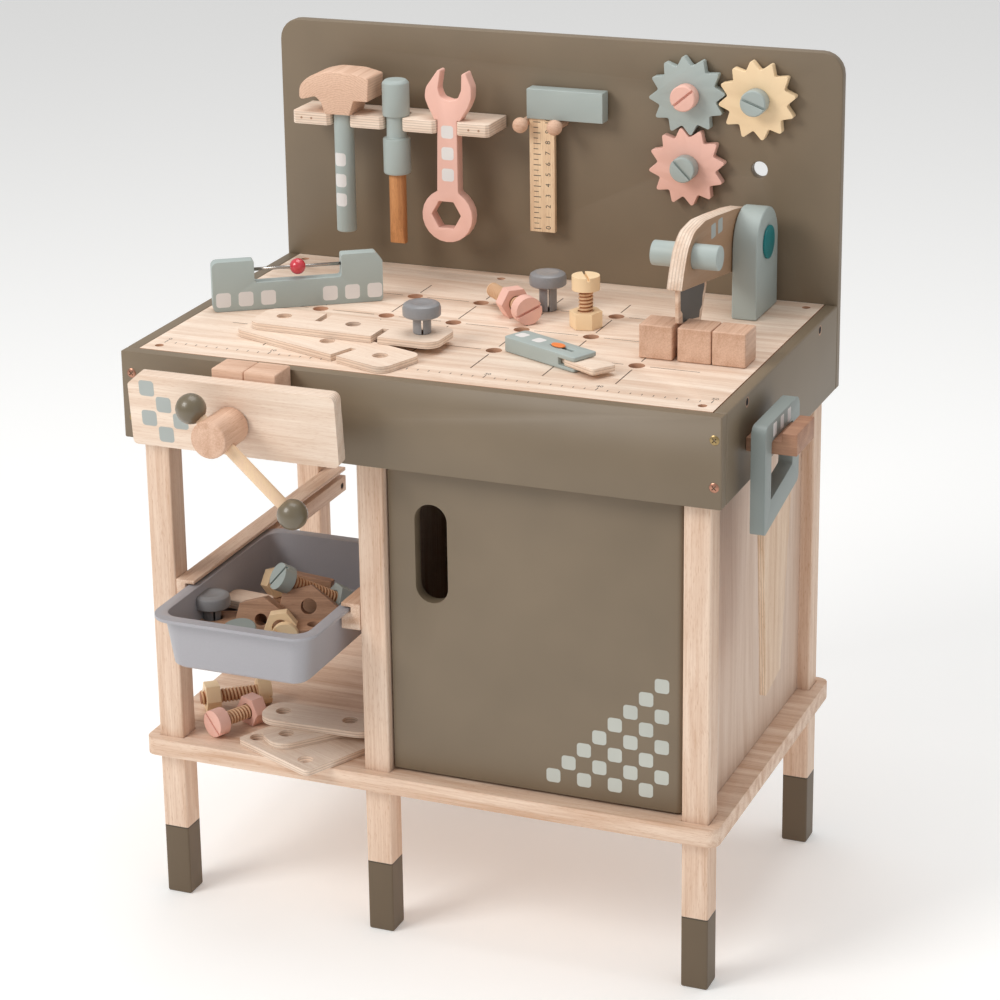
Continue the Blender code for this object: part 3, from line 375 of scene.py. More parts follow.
LOOKS = {
    "taupe": paint("taupe_paint", TAUPE),
    "blue_grey": paint("blue_grey_paint", BLUE_GREY, grain="Z"),
    "slate": paint("slate_paint", SLATE, grain="Z"),
    "pink": paint("pink_paint", PINK, grain="Z"),
    "cream": paint("cream_paint", CREAM, grain="Z"),
    "olive": paint("olive_lacquer", OLIVE, 0.38, gloss=0.45),
    "teal": paint("teal_paint", (0.004, 0.19, 0.20), 0.4),
    "red": paint("red_lacquer", (0.60, 0.035, 0.055), 0.22, gloss=0.8),
    "white_print": paint("white_print", PRINT_WHITE, 0.6),
    "grey_print": paint("grey_print", PRINT_GREY, 0.6),
    "pale_print": paint("pale_print", PRINT_PALE, 0.6),
    "dark_print": paint("dark_print", (0.11, 0.10, 0.09), 0.6),
    "orange_print": paint("orange_print", (0.87, 0.24, 0.06), 0.55),
    "ink": paint("ink", INK, 0.7),
    "groove": paint("groove", (0.085, 0.055, 0.035), 0.8),
    "worktop": wood("worktop_ply", BIRCH, BIRCH_DARK, "X", rim=("Z", HOLE_WALL)),
    "amber_z": wood("amber_ply", AMBER, AMBER_DARK, "Z", ply="X", figure=0.6, layer=2.0),
    # the chop saw arm: its +X face carries stain and painted shade
    "arm": stained("stained_and_shaded_ply", BIRCH, BIRCH_DARK, "Y", "X", (0.31, 0.165, 0.075), 0.85),
    # the second colour is painted shade in the thread's groove
    "thread": threaded("wood_thread", (0.80, 0.55, 0.34), (0.36, 0.13, 0.05)),
    "pine_x": wood("pine_along_x", PINE, PINE_DARK, "X"),
    "pine_y": wood("pine_along_y", PINE, PINE_DARK, "Y"),
    "pine_z": wood("pine_along_z", PINE, PINE_DARK, "Z"),
    # the right side panel: pine darkened as painted shade, with soft figure
    "panel_z": wood("shaded_panel_along_z", SHADED_SIDE_PINE, SIDE_PINE_DARK, "Z", figure=0.6),
    # the saw hook: beech with painted shade in its colour
    "hook": wood("shaded_hook_beech", SHADED_HOOK_BEECH, BEECH_DARK, "X", figure=0.5),
    "ruler": wood("ruler_wood", (0.90, 0.68, 0.45), AMBER_DARK, "Z", ply="Y", figure=0.4, layer=2.4),
    "leg": wood("pine_leg", PINE, PINE_DARK, "Z", feet=True, figure=0.5),
    "ply_xy": wood("birch_ply_flat", BIRCH, BIRCH_DARK, "X", ply="Z", figure=0.45, layer=2.4),
    "ply_xz": wood("birch_ply_upright", BIRCH, BIRCH_DARK, "X", ply="Y", figure=0.5, layer=2.6),
    "beech": wood("beech", BEECH, BEECH_DARK, "X", figure=0.45),
    "beech_y": wood("beech_along_y", BEECH, BEECH_DARK, "Y", figure=0.45),
    "beech_z": wood("beech_along_z", (0.86, 0.63, 0.40), BEECH, "Z", figure=0.4),
    "ringed": ringed("ringed_beech", BEECH, BEECH_DARK, HAMMER_RINGS, 2.1),
    "walnut": wood("walnut", WALNUT, WALNUT_DARK, "X", figure=0.6),
    "copper_wood": wood("copper_wood", COPPER_WOOD, COPPER_WOOD_DARK, "Z", figure=0.6),
    "tray": plastic("tray_plastic", (0.400, 0.390, 0.415)),
    "peg": plastic("peg_plastic", (0.270, 0.266, 0.272), 0.30, 2.0),
    "floor": plastic("pale_floor", (0.92, 0.92, 0.91), 0.9),
    # near black, used as painted shade on the bottoms of bores and of the knife's groove
    "dark": plastic("painted_shade_black", (0.015, 0.013, 0.012), 0.9),
    "brass": metal("brass", (0.42, 0.30, 0.14), 0.34),
    "copper": metal("copper", (0.52, 0.26, 0.18), 0.34),
    "steel": metal("steel", (0.50, 0.45, 0.41), 0.22),
}


# Outlines, as lists of (x, y) in millimetres


def circle(x, y, radius, steps=32):
    angles = [2 * math.pi * i / steps for i in range(steps)]
    return [(x + radius * math.cos(a), y + radius * math.sin(a)) for a in angles]


def rounded(corners, steps=6):
    """An outline from (x, y, radius) corners, with an arc in place of each corner that has a radius."""
    outline = []
    for i, (x, y, radius) in enumerate(corners):
        here = Vector((x, y))
        back = (Vector(corners[i - 1][:2]) - here).normalized()
        ahead = (Vector(corners[(i + 1) % len(corners)][:2]) - here).normalized()
        if not radius:
            outline.append((x, y))
            continue
        half = back.angle(ahead) / 2
        middle = here + (back + ahead).normalized() * radius / math.sin(half)
        first = here + back * radius / math.tan(half) - middle
        last = here + ahead * radius / math.tan(half) - middle
        sweep = first.angle_signed(last)
        start = math.atan2(first.y, first.x)
        for step in range(steps + 1):
            angle = start - sweep * step / steps
            outline.append((middle.x + radius * math.cos(angle), middle.y + radius * math.sin(angle)))
    return outline


def rectangle(x, y, width, height, radius=0.0):
    """A rectangle about a middle point."""
    half_x, half_y = width / 2, height / 2
    signs = ((-1, -1), (1, -1), (1, 1), (-1, 1))
    return rounded([(x + sx * half_x, y + sy * half_y, radius) for sx, sy in signs])


# Meshes


def scaled(shape, name):
    bmesh.ops.recalc_face_normals(shape, faces=shape.faces)
    bmesh.ops.scale(shape, vec=(MM, MM, MM), verts=shape.verts)
    mesh = bpy.data.meshes.new(name)
    shape.to_mesh(mesh)
    shape.free()
    return mesh


def filled(name, curve):
    """The mesh that a curve or a text makes."""
    guide = bpy.data.objects.new(name, curve)
    bpy.context.scene.collection.objects.link(guide)
    graph = bpy.context.evaluated_depsgraph_get()
    mesh = bpy.data.meshes.new_from_object(guide.evaluated_get(graph))
    bpy.data.objects.remove(guide)
    return mesh


def plate_mesh(name, outlines, thickness):
    """A flat plate about the XY plane: outlines inside others are holes."""
    curve = bpy.data.curves.new(name, "CURVE")
    curve.dimensions = "2D"
    curve.fill_mode = "BOTH"
    curve.extrude = thickness / 2
    for outline in outlines:
        spline = curve.splines.new("POLY")
        spline.points.add(len(outline) - 1)
        for point, (x, y) in zip(spline.points, outline):
            point.co = (x, y, 0.0, 1.0)
        spline.use_cyclic_u = True
    shape = bmesh.new()
    shape.from_mesh(filled(name, curve))
    bmesh.ops.remove_doubles(shape, verts=shape.verts, dist=0.001)
    bmesh.ops.dissolve_limit(shape, angle_limit=FLAT_ANGLE, verts=shape.verts, edges=shape.edges)
    return scaled(shape, name)


def box_mesh(name, size):
    shape = bmesh.new()
    bmesh.ops.create_cube(shape, size=1.0)
    bmesh.ops.scale(shape, vec=size, verts=shape.verts)
    return scaled(shape, name)


def lathe_mesh(name, profile, sides=48):
    """A turned shape about Z from (radius, height) points, bottom to top, that start and end at radius 0."""
    shape = bmesh.new()
    rings = []
    for radius, height in profile:
        if radius == 0:
            rings.append([shape.verts.new((0, 0, height))])
            continue
        angles = [2 * math.pi * i / sides for i in range(sides)]
        rings.append([shape.verts.new((radius * math.cos(a), radius * math.sin(a), height)) for a in angles])
    for lower, upper in zip(rings, rings[1:]):
        for i in range(sides):
            corners = []
            for ring, index in ((lower, i - 1), (lower, i), (upper, i), (upper, i - 1)):
                vert = ring[index] if len(ring) > 1 else ring[0]
                if vert not in corners:
                    corners.append(vert)
            shape.faces.new(corners)
    return scaled(shape, name)


def thread_mesh(name, radius, depth, pitch, length, sides=28, steps=8):
    """A rod about Z from 0 to length with one rounded helical ridge."""
    shape = bmesh.new()
    count = int(length / pitch * steps)
    rings = []
    for row in range(count + 1):
        height = length * row / count
        ring = []
        for i in range(sides):
            angle = 2 * math.pi * i / sides
            phase = 2 * math.pi * height / pitch - angle
            here = radius - depth * (0.5 - 0.5 * math.cos(phase)) ** 1.6
            ring.append(shape.verts.new((here * math.cos(angle), here * math.sin(angle), height)))
        rings.append(ring)
    for lower, upper in zip(rings, rings[1:]):
        for i in range(sides):
            shape.faces.new((lower[i - 1], lower[i], upper[i], upper[i - 1]))
    shape.faces.new(rings[0])
    shape.faces.new(rings[-1])
    return scaled(shape, name)


# Pieces


def soften(obj, width):
    """Rounds the sharp edges by a width in millimetres, and smooths the rest."""
    obj.data.shade_smooth()
    if width:
        bevel = obj.modifiers.new("edges", "BEVEL")
        bevel.width = width * MM
        bevel.segments = 3
        bevel.limit_method = "ANGLE"
        bevel.angle_limit = BEVEL_ANGLE
        bevel.harden_normals = True
    else:
        obj.data.set_sharp_from_angle(angle=SHARP_ANGLE)


def placed(name, mesh, matrix):
    obj = bpy.data.objects.new(name, mesh)
    bpy.context.scene.collection.objects.link(obj)
    obj.matrix_world = matrix
    return obj


def cut(obj, cutter):
    """Takes the cutter's shape out of the object, and removes the cutter."""
    boolean = obj.modifiers.new("cut", "BOOLEAN")
    boolean.solver = "EXACT"
    boolean.object = cutter
    bpy.context.view_layer.update()
    graph = bpy.context.evaluated_depsgraph_get()
    obj.data = bpy.data.meshes.new_from_object(obj.evaluated_get(graph))
    obj.modifiers.clear()
    bpy.data.objects.remove(cutter)


def piece(name, mesh, look, body, matrix, edge=0.0, cutters=()):
    """A new piece on a body. cutters are (mesh, place), and edge is the width of its rounded edges."""
    obj = placed(name, mesh, matrix)
    mesh.materials.append(LOOKS[look])
    for cutter_mesh, cutter_matrix in cutters:
        cut(obj, placed(f"{name}_cutter", cutter_mesh, cutter_matrix))
    soften(obj, edge)
    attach(obj, body)
    return obj


def plate(name, outlines, thickness, look, body, matrix, edge=0.5, cutters=()):
    return piece(name, plate_mesh(name, outlines, thickness), look, body, matrix, edge, cutters)


def print_on(name, outlines, look, body, matrix):
    """A printed pattern: a film on the face whose outward normal is the place's +Z."""
    return piece(name, plate_mesh(name, outlines, PRINT), look, body, matrix)


def numeral(name, text, size, look, body, matrix):
    curve = bpy.data.curves.new(name, "FONT")
    curve.body = text
    curve.size = size
    curve.align_x = "CENTER"
    curve.align_y = "CENTER"
    curve.extrude = PRINT / 2
    mesh = filled(name, curve)
    mesh.transform(Matrix.Scale(MM, 4))
    mesh.materials.clear()
    return piece(name, mesh, look, body, matrix)


def dress(name, look, edge):
    """Gives a CAD part its finish, and rounds its edges."""
    obj = NODES[name]
    obj.data.materials.clear()
    obj.data.materials.append(LOOKS[look])
    weld = obj.modifiers.new("weld", "WELD")
    weld.merge_threshold = 0.00001
    flat = obj.modifiers.new("flat", "DECIMATE")
    flat.decimate_type = "DISSOLVE"
    flat.angle_limit = FLAT_ANGLE
    soften(obj, edge)


# The bench


def dress_bench():
    for side in ("left", "middle", "right"):
        for row in ("front", "rear"):
            dress(f"leg_{row}_{side}", "leg", 1.8)
    for name, look, edge in (
        ("front_board", "taupe", 1.6),
        ("left_board", "taupe", 1.6),
        ("right_board", "taupe", 1.6),
        ("back_panel", "taupe", 1.4),
        ("door", "taupe", 1.2),
        ("worktop", "worktop", 0.5),
        ("shelf", "pine_x", 2.2),
        ("cabinet_side_panel", "panel_z", 0.6),
        ("cabinet_partition", "pine_z", 0.6),
        ("cabinet_back", "pine_z", 0.6),
        ("door_header", "pine_x", 1.0),
        ("door_hinge_pin", "steel", 0.3),
        ("tray_rail_left", "pine_y", 0.8),
        ("tray_rail_right", "pine_y", 0.8),
        ("tray", "tray", 0.9),
        ("tool_rack", "ply_xy", 0.7),
        ("saw_hook", "hook", 0.8),
        ("vise_jaw", "ply_xz", 1.8),
        ("vise_screw", "beech_y", 0.8),
        ("vise_bar", "beech_z", 0.5),
        ("vise_ball_near", "olive", 0.4),
        ("vise_ball_far", "olive", 0.4),
        ("vise_nut", "beech", 1.0),
        ("clamped_cube_left", "beech", 1.4),
        ("clamped_cube_right", "beech", 1.4),
    ):
        dress(name, look, edge)


def dress_tools():
    for name, look, edge in (
        ("handsaw_handle", "slate", 1.4),
        ("handsaw_blade", "amber_z", 0.6),
        ("chop_saw_stand", "blue_grey", 1.4),
        ("chop_saw_arm", "arm", 0.8),
        ("chop_saw_blade", "pine_y", 0.3),
        ("chop_saw_handle", "blue_grey", 1.2),
        ("chop_saw_pivot", "teal", 0.5),
        ("gear_blue", "blue_grey", 0.5),
        ("gear_yellow", "cream", 0.5),
        ("gear_pink", "pink", 0.5),
        ("gear_blue_bolt", "pink", 0.5),
        ("gear_yellow_bolt", "blue_grey", 0.5),
        ("gear_pink_bolt", "blue_grey", 0.5),
        ("try_square_head", "blue_grey", 1.0),
        ("try_square_blade", "ruler", 0.4),
        ("square_peg_left", "beech", 0.3),
        ("square_peg_right", "beech", 0.3),
        ("hammer_head", "ringed", 0.9),
        ("hammer_handle", "blue_grey", 1.6),
        ("screwdriver_handle", "blue_grey", 1.0),
        ("screwdriver_blade", "copper_wood", 0.5),
        ("wrench", "pink", 0.9),
        ("level_body", "blue_grey", 1.4),
        ("level_rod", "steel", 0.0),
        ("level_bead", "red", 0.2),
        ("knife_body", "blue_grey", 0.8),
        ("knife_blade", "ply_xy", 0.5),
        ("cream_nut", "cream", 0.6),
    ):
        dress(name, look, edge)


def screw_head(name, matrix, look, radius=4.2):
    """A countersunk screw with a cross recess. The place's +Z points out of the wood."""
    profile = [(0, -3.0), (1.8, -3.0), (radius * 0.92, -0.3), (radius, 0.1), (radius * 0.8, 0.75), (0, 1.0)]
    cross = []
    for degrees in (45, 135):
        cross.append((box_mesh("recess", (0.9, radius * 1.2, 2.2)), local(matrix, z=1.0, turn_z=degrees)))
    piece(name, lathe_mesh(name, profile, 28), look, "bench", matrix, 0.0, cross)


def sunk_hole(name, radius, place):
    """A bore that ends in the wood, drawn as its lit wall and its dark bottom, which is painted shade."""
    bottom = circle(-0.12 * radius, 0.1 * radius, 0.72 * radius)
    print_on(f"{name}_wall", [circle(0, 0, radius), bottom], "walnut", "bench", place)
    # The bottom is painted shade.
    print_on(f"{name}_bottom", [bottom], "dark", "bench", place)


def make_screws():
    high_z, low_z = 504.5, 464
    apron = ((10, high_z, "copper"), (10, low_z, "brass"), (539.5, high_z, "brass"), (539.5, low_z, "copper"))
    for i, (x, z, look) in enumerate(apron):
        screw_head(f"apron_screw_{i}", upright(x, 0, z), look)
    for i, (x, y) in enumerate(((25, 25), (521, 25), (25, 320.5), (521, 320.5), (228, 318))):
        screw_head(f"worktop_screw_{i}", base(x, y, TOP - 4.5), "brass", 3.4)
    for i, x in enumerate((41, 51, 209, 219)):
        plug = [(0, -0.2), (1.1, -0.2), (1.1, 0.05), (0, 0.05)]
        spot = upright(x, RACK_FRONT_Y, 670)
        piece(f"rack_pin_{i}", lathe_mesh("rack_pin", plug, 16), "walnut", "bench", spot)


def make_sunk_holes():
    for i, y in enumerate((66, 279)):
        sunk_hole(f"board_hole_{i}", 4.6, sideways(RIGHT_FACE_X, y, 517))
    low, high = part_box("tray_rail_left")
    place = sideways()
    place.translation = (high.x, high.y - 9 * MM, low.z + 7 * MM)
    sunk_hole("rail_hole", 3.6, place)


def make_worktop_ruler():
    """A scale from 0 to 50 cm along the worktop's front edge."""
    ticks = [rectangle(RULER_ZERO_X + 10 * n, 35.5, 0.7, 3.4) for n in range(51)]
    ticks += [rectangle(RULER_ZERO_X + 100 * n, 38.8, 0.8, 4.2) for n in range(6)]
    print_on("ruler_ticks", ticks, "ink", "bench", base(0, 0, TOP))
    for n in range(6):
        spot = base(RULER_ZERO_X + 100 * n, 44.5, TOP)
        numeral(f"ruler_{n}", str(10 * n), 6.0, "ink", "bench", spot)


def make_worktop_grooves():
    """Grooves that run from hole to hole, and stop short of each hole."""
    reach, front, rear = 12.0, 55, 276
    lines = []
    for column in range(6):
        x = GRID_X + PITCH * column
        stops = [front, *(GRID_Y + PITCH * row for row in range(3)), rear]
        for first, last in zip(stops, stops[1:]):
            low = first + (reach if first != front else 0)
            high = last - (reach if last != rear else 0)
            lines.append(rectangle(x, (low + high) / 2, 1.0, high - low))
    for row in range(3):
        y = GRID_Y + PITCH * row
        for column in range(5):
            x = GRID_X + PITCH * (column + 0.5)
            lines.append(rectangle(x, y, PITCH - 2 * reach, 0.8))
        lines.append(rectangle(GRID_X - 34, y, 44, 0.8))
        lines.append(rectangle(GRID_X + 5 * PITCH + 34, y, 44, 0.8))
    print_on("worktop_grooves", lines, "groove", "bench", base(0, 0, TOP))


# Printed squares and other prints


def make_door_squares():
    """Squares that step up towards the door's lower right corner. rows holds the columns of each row."""
    door_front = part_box("door")[0].y / MM - CORNER.y / MM
    rows = ((0, 2, 4, 6), (1, 3, 5, 7), (2, 4, 6), (3, 5, 7), (4, 6), (5, 7), (6,), (7,))
    outlines = []
    for row, columns in enumerate(rows):
        for column in columns:
            outlines.append(rectangle(391.2 + 14 * column, 176.2 + 14 * row, 12.8, 12.8, 3.0))
    print_on("door_squares", outlines, "pale_print", "door", upright(0, door_front, 0))


def make_jaw_squares():
    tilt = Matrix.Rotation(math.radians(6), 4, "X")
    jaw = Matrix.Translation(at(128, -36.5, 488.5)) @ tilt @ Matrix.Rotation(math.pi / 2, 4, "X")
    steps = ((0, 0), (1, -1), (0, -2), (2, -2), (1, -3))
    squares = [rectangle(-79 + 15 * column, 21 + 13.8 * row, 14.2, 14.2, 3.0) for column, row in steps]
    print_on("jaw_squares", squares, "grey_print", "vise_jaw", local(jaw, z=6.5))


def make_tool_squares():
    """White squares on the wrench, the level and the handsaw's grip."""
    squares = [rectangle(186, z, 12, 12, 2.8) for z in (665.5, 645.3, 625.2)]
    print_on("wrench_squares", squares, "white_print", "wrench", upright(0, 294.7, 0))
    level = base(25.1, 128.6, TOP + GAP, 33.6)
    squares = [rectangle(x + 4, 10.7, 13.5, 13.5, 3.0) for x in (5.3, 25.7, 46.1, 102.5, 122.8, 143.3)]
    print_on("level_squares", squares, "white_print", "level", local(level, turn_x=90))
    squares = [rectangle(y, 496.6, 9.5, 11.5, 1.5) for y in (66, 86, 106)]
    print_on("handsaw_squares", squares, "white_print", "handsaw", sideways(569.97, 0, 0))


def make_chop_saw_prints():
    """Squares on the arm, and the dark sides of the blade."""
    squares = [rectangle(y, 618, 12.5, 12.5, 2.0) for y in (212, 231)]
    print_on("chop_saw_squares", squares, "grey_print", "chop_saw", sideways(468.53, 0, 0))
    guard = [(140, 591), (141, 566), (146, 562), (147, 554), (157, 552), (163, 551.5), (191, 546)]
    guard += [(193, 552), (199, 555), (200, 563), (205, 570), (205, 591)]
    for side, x in (("left", 459.97), ("right", 463.03)):
        print_on(f"chop_blade_{side}", [guard], "dark_print", "chop_saw", sideways(x, 0, 0))


def make_knife_prints():
    """Squares on the body, painted shade on the floor of its groove, and the cap of the button in the groove.
    """
    knife = base(359.4, 101.4, TOP + GAP, -26)
    squares = [rectangle(x, 0.5, 10.5, 10.5, 2.4) for x in (-34.7, -13.6)]
    print_on("knife_squares", squares, "white_print", "knife", local(knife, z=13.2))
    # The groove's floor gets a dark film as painted shade.
    groove = [rectangle(-2.5, 0, 19.4, 3.2), rectangle(24.7, 0, 19.4, 3.2)]
    print_on("knife_groove_shade", groove, "dark", "knife_blade", local(knife, z=9.03))
    cap = [(11 + 7.5 * x, 4.4 * y) for x, y in circle(0, 0, 1, 36)]
    plate("knife_button_cap", [cap], 1.3, "orange_print", "knife_blade", local(knife, z=14.3))


def wrap(mesh, radius):
    """Bends a flat film about a cylinder of this radius, whose axis is the film's own Y."""
    shape = bmesh.new()
    shape.from_mesh(mesh)
    for x in (-4, -2, 0, 2, 4):
        geometry = shape.verts[:] + shape.edges[:] + shape.faces[:]
        bmesh.ops.bisect_plane(shape, geom=geometry, plane_co=(x * MM, 0, 0), plane_no=(1, 0, 0))
    for vert in shape.verts:
        angle = vert.co.x / radius
        depth = radius + vert.co.z
        vert.co.x, vert.co.z = depth * math.sin(angle), depth * math.cos(angle)
    shape.to_mesh(mesh)
    shape.free()


def make_handle_squares():
    """Squares that wrap round the hammer's handle."""
    for i, z in enumerate((632, 612, 593.5)):
        mesh = plate_mesh("handle_square", [rectangle(0, 0, 12.5, 12.5, 3.0)], PRINT)
        wrap(mesh, 9.32 * MM)
        place = local(upright(79.3, 301, z), turn_y=-9)
        piece(f"handle_square_{i}", mesh, "white_print", "hammer", place)


# Loose pieces


def slotted_head(name, matrix, look, body, radius, height, slot_degrees):
    profile = [(0, 0), (radius, 0), (radius, height), (0, height)]
    slot = (box_mesh("slot", (radius * 3, 2.4, 6)), local(matrix, z=height, turn_z=slot_degrees))
    return piece(name, lathe_mesh(name, profile), look, body, matrix, 0.9, [slot])


def hex_nut(name, matrix, look, body, radius=14.7, height=13.0, hole=7.2):
    outlines = [circle(0, 0, radius, 6), circle(0, 0, hole)]
    return plate(name, outlines, height, look, body, local(matrix, z=height / 2), 0.9)


def loose_bolt(name, matrix, body, look, shank, nut_at, slot=0.0):
    """A slotted wooden bolt with its nut. The head starts at the place's origin, and the shank runs to -Z."""
    slotted_head(f"{name}_head", matrix, look, body, 12.5, 12.0, slot)
    mesh = thread_mesh(f"{name}_shank", 6.6, 1.3, 3.4, shank + 1)
    piece(f"{name}_shank", mesh, "thread", body, local(matrix, z=-shank))
    hex_nut(f"{name}_nut", local(matrix, z=nut_at - shank), look, body)


def make_square_ruler():
    """The scale on the try square's blade: half and whole centimetres from 0 to 10."""
    zero, step, face_y = 574.8, 10.02, 320.5
    face = upright(0, face_y, 0)
    ticks = [rectangle(264.0, zero + step * n, 7.0, 0.7) for n in range(11)]
    ticks += [rectangle(263.0, zero + step * (n + 0.5), 4.6, 0.6) for n in range(10)]
    print_on("square_ticks", ticks, "ink", "try_square", face)
    for n in range(11):
        spot = local(upright(274.8, face_y, zero + step * n + 1.5), turn_z=90)
        numeral(f"square_{n}", str(n), 6.8, "ink", "try_square", spot)


def make_cream_bolt():
    """The cream bolt on the worktop, in place of the plain solid that turns in MuJoCo."""
    x, y, low = 355.8, 199.9, TOP + GAP + 1
    place = base(x, y, low + 33)
    bolt = slotted_head("cream_bolt_head", place, "cream", "cream_bolt", 12.5, 13.0, -60)
    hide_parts("cream_bolt")
    shank = thread_mesh("cream_bolt_shank", 6.55, 1.2, 3.3, 34)
    piece("cream_bolt_shank", shank, "thread", "cream_bolt", base(x, y, low))


def peg(name, matrix, body, above=23.0, below=10.0, slit=0.0):
    """A plastic peg: a wide cap with a raised disc on a slit shank. The origin is the shank's shoulder."""
    cap, radius = 16.6, 8.0
    profile = [(0, -below), (6.2, -below), (6.6, 2 - below), (6.6, 0.2), (radius, 0.4)]
    profile += [(radius, above - 1.5), (radius + 1.5, above)]
    profile += [(cap - 1.5, above), (cap, above + 1.2), (cap + 0.2, above + 7.5), (cap - 0.8, above + 10.6)]
    profile += [(cap - 3, above + 12.0), (9, above + 12.2), (6.5, above + 11.6), (0, above + 11.2)]
    slit_box = (box_mesh("slit", (1.7, 60, above + 8)), local(matrix, z=above / 2 - 6, turn_z=slit))
    return piece(name, lathe_mesh(name, profile), "peg", body, matrix, 0.3, [slit_box])


def slat(name, x, y, low, turn, body, size, holes, slots=()):
    """A building slat of 6 mm ply. size is (length, width, corner radius).

    slots are (x, side) for slots that reach from an edge to the middle.
    """
    length, width, radius = size
    half, slot_half, thickness = width / 2, 3.2, 6.0
    corners = []
    for side in (-1, 1):
        edge_y = side * half
        corners.append((side * length / 2, edge_y, radius))
        for slot_x in (slot_x for slot_x, slot_side in slots if slot_side == side):
            start_x, end_x = slot_x + side * slot_half, slot_x - side * slot_half
            corners += [(start_x, edge_y, 0), (start_x, 0, 0), (end_x, 0, 0), (end_x, edge_y, 0)]
        corners.append((-side * length / 2, edge_y, radius))
    outlines = [rounded(corners)] + [circle(hole_x, hole_y, 6.9) for hole_x, hole_y in holes]
    plate(name, outlines, thickness, "ply_xy", body, base(x, y, low + thickness / 2, turn), 0.7)


def block(name, place, corners, thickness, holes=(), look="walnut"):
    """A loose block for building, with rounded edges, which lies in the tray."""
    outlines = [rounded([(x, y, 1.5) for x, y in corners], 3)]
    outlines += [circle(x, y, radius) for x, y, radius in holes]
    plate(name, outlines, thickness, look, "tray", place, 1.2)


def make_worktop_items():
    """Three cubes, two pegs, two slats and the pink bolt."""
    for name, x in (("left", 429.7), ("middle", 464.0), ("right", 494.6)):
        spot = base(x + 15, 144, TOP + GAP + 15)
        piece(f"cube_{name}", box_mesh(f"cube_{name}", (29.8, 30, 30)), "beech_y", "bench", spot, 1.3)
    peg("worktop_peg_rear", base(305.5, 238, TOP), "bench", slit=25)
    low = TOP + GAP
    slots = ((33, -1), (-33, 1))
    slat("slat_low", 166.6, 66, low, -20, "bench", (181, 50, 10), ((-64.5, 0), (0, 1), (64.5, 0)), slots)
    slat("slat_high", 176, 98, low + 6.3, -1.5, "bench", (181, 48, 12), ((-68, 4), (0, 3), (67, 1)), slots)
    peg("worktop_peg_front", base(243, 98, low + 12.4), "bench", above=15, below=9, slit=25)
    loose_bolt("pink_bolt", aimed(299.1, 194.6, TOP + 13.1, (0.727, -0.686, 0)), "bench", "pink", 66, 38, 20)


def make_shelf_items():
    """Three slats in a pile and two bolts."""
    low = SHELF_TOP + GAP
    slat("shelf_slat_low", 151.2, 38.2, low, -25, "bench", (97, 90, 5), ((-37, -31), (29, -30)))
    slat("shelf_slat_middle", 149.5, 51.4, low + 6.3, 50, "bench", (95, 42, 17), ((-28, 0), (28, 0)))
    slat("shelf_slat_high", 152, 60.5, low + 12.6, 1.5, "bench", (112, 40, 17), ((-38, 1), (27, 2)))
    axis_z = SHELF_TOP + 13.2
    loose_bolt("shelf_pink_bolt", aimed(65.5, 34, axis_z, (-0.42, -0.9, 0)), "bench", "pink", 44, 3, -40)
    loose_bolt("shelf_cream_bolt", aimed(66, 103.6, axis_z, (0.79, 0.61, 0)), "bench", "cream", 53, 4, 10)


def make_tray_items():
    """The heap of blocks, bolts and a peg. All of it rides on the tray."""
    floor = TRAY_FLOOR + 0.2
    square = [(-21, -15), (21, -15), (21, 15), (-21, 15)]
    block("tray_block_peg", base(70, 16, floor + 11, 20), square, 16, [(0, 0, 9.0)])
    block("tray_block_under", base(66, 20, floor + 1.5, 35), square, 3)
    peg("tray_peg", base(68, 19, floor + 15), "tray", above=13, below=8, slit=40)
    disc = lathe_mesh("tray_disc", [(0, 0), (15.6, 0), (15.6, 13), (0, 13)])
    piece("tray_disc", disc, "slate", "tray", base(109, -8, floor + 12, turn_x=14), 1.2)
    leaning = [(-24, -16), (20, -16), (25, 4), (4, 18), (-18, 12)]
    block("tray_block_left", base(112, 28, floor + 21, 12, 75), leaning, 18, [(2, -2, 5.5)])
    roof = [(-27, -17), (22, -17), (30, -2), (6, 19), (-20, 14)]
    block("tray_block_right", base(140, 62, floor + 22, 22, 72), roof, 24, [(3, 0, 7.0)])
    flat = [(-26, -11), (20, -14), (26, 9), (-18, 14)]
    block("tray_block_flat", base(164, 28, floor + 11, 35), flat, 20, [(0, 0, 6.5)])
    wedge = [(-24, -17), (24, -17), (28, 12), (-10, 19)]
    block("tray_block_rear", base(118, 100, floor + 17, 15, 78), wedge, 18)
    block("tray_block_light", base(85, 58, floor + 20, -6), rectangle(0, 0, 44, 26, 8), 9, look="ply_xy")
    block("tray_block_prop", base(92, 74, floor + 8, 30), square, 15)
    skewed = [(-22, -12), (18, -12), (24, 10), (-16, 12)]
    block("tray_block_low", base(84, -16, floor + 8, -15), skewed, 15)
    loose_bolt("tray_blue_bolt", aimed(126, 57, 306, (-0.57, -0.65, 0.51)), "tray", "blue_grey", 64, 2, 62)
    place = aimed(139, 12, floor + 22, (0.35, -0.90, 0.10), 8)
    hex_nut("tray_cream_nut", local(place, z=-7), "cream", "tray")
    slotted_head("tray_cream_head", local(place, x=4, y=-6, z=9), "cream", "tray", 12.0, 9.0, 130)
    hex_nut("tray_rear_nut", aimed(92, 96, floor + 26, (0.80, -0.55, 0.22)), "cream", "tray")


def make_rear_nuts():
    """The nuts that hold the gear bolts behind the panel."""
    for name, look in (("blue", "pink"), ("yellow", "blue_grey"), ("pink", "blue_grey")):
        low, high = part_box(f"gear_{name}_bolt")
        middle = (low + high) / 2
        middle.y = high.y - 13.0 * MM
        place = Matrix.Translation(middle) @ Matrix.Rotation(-math.pi / 2, 4, "X")
        hex_nut(f"rear_nut_{name}", place, look, "bench", radius=15.5, height=12.0, hole=7.7)


# Studio and camera


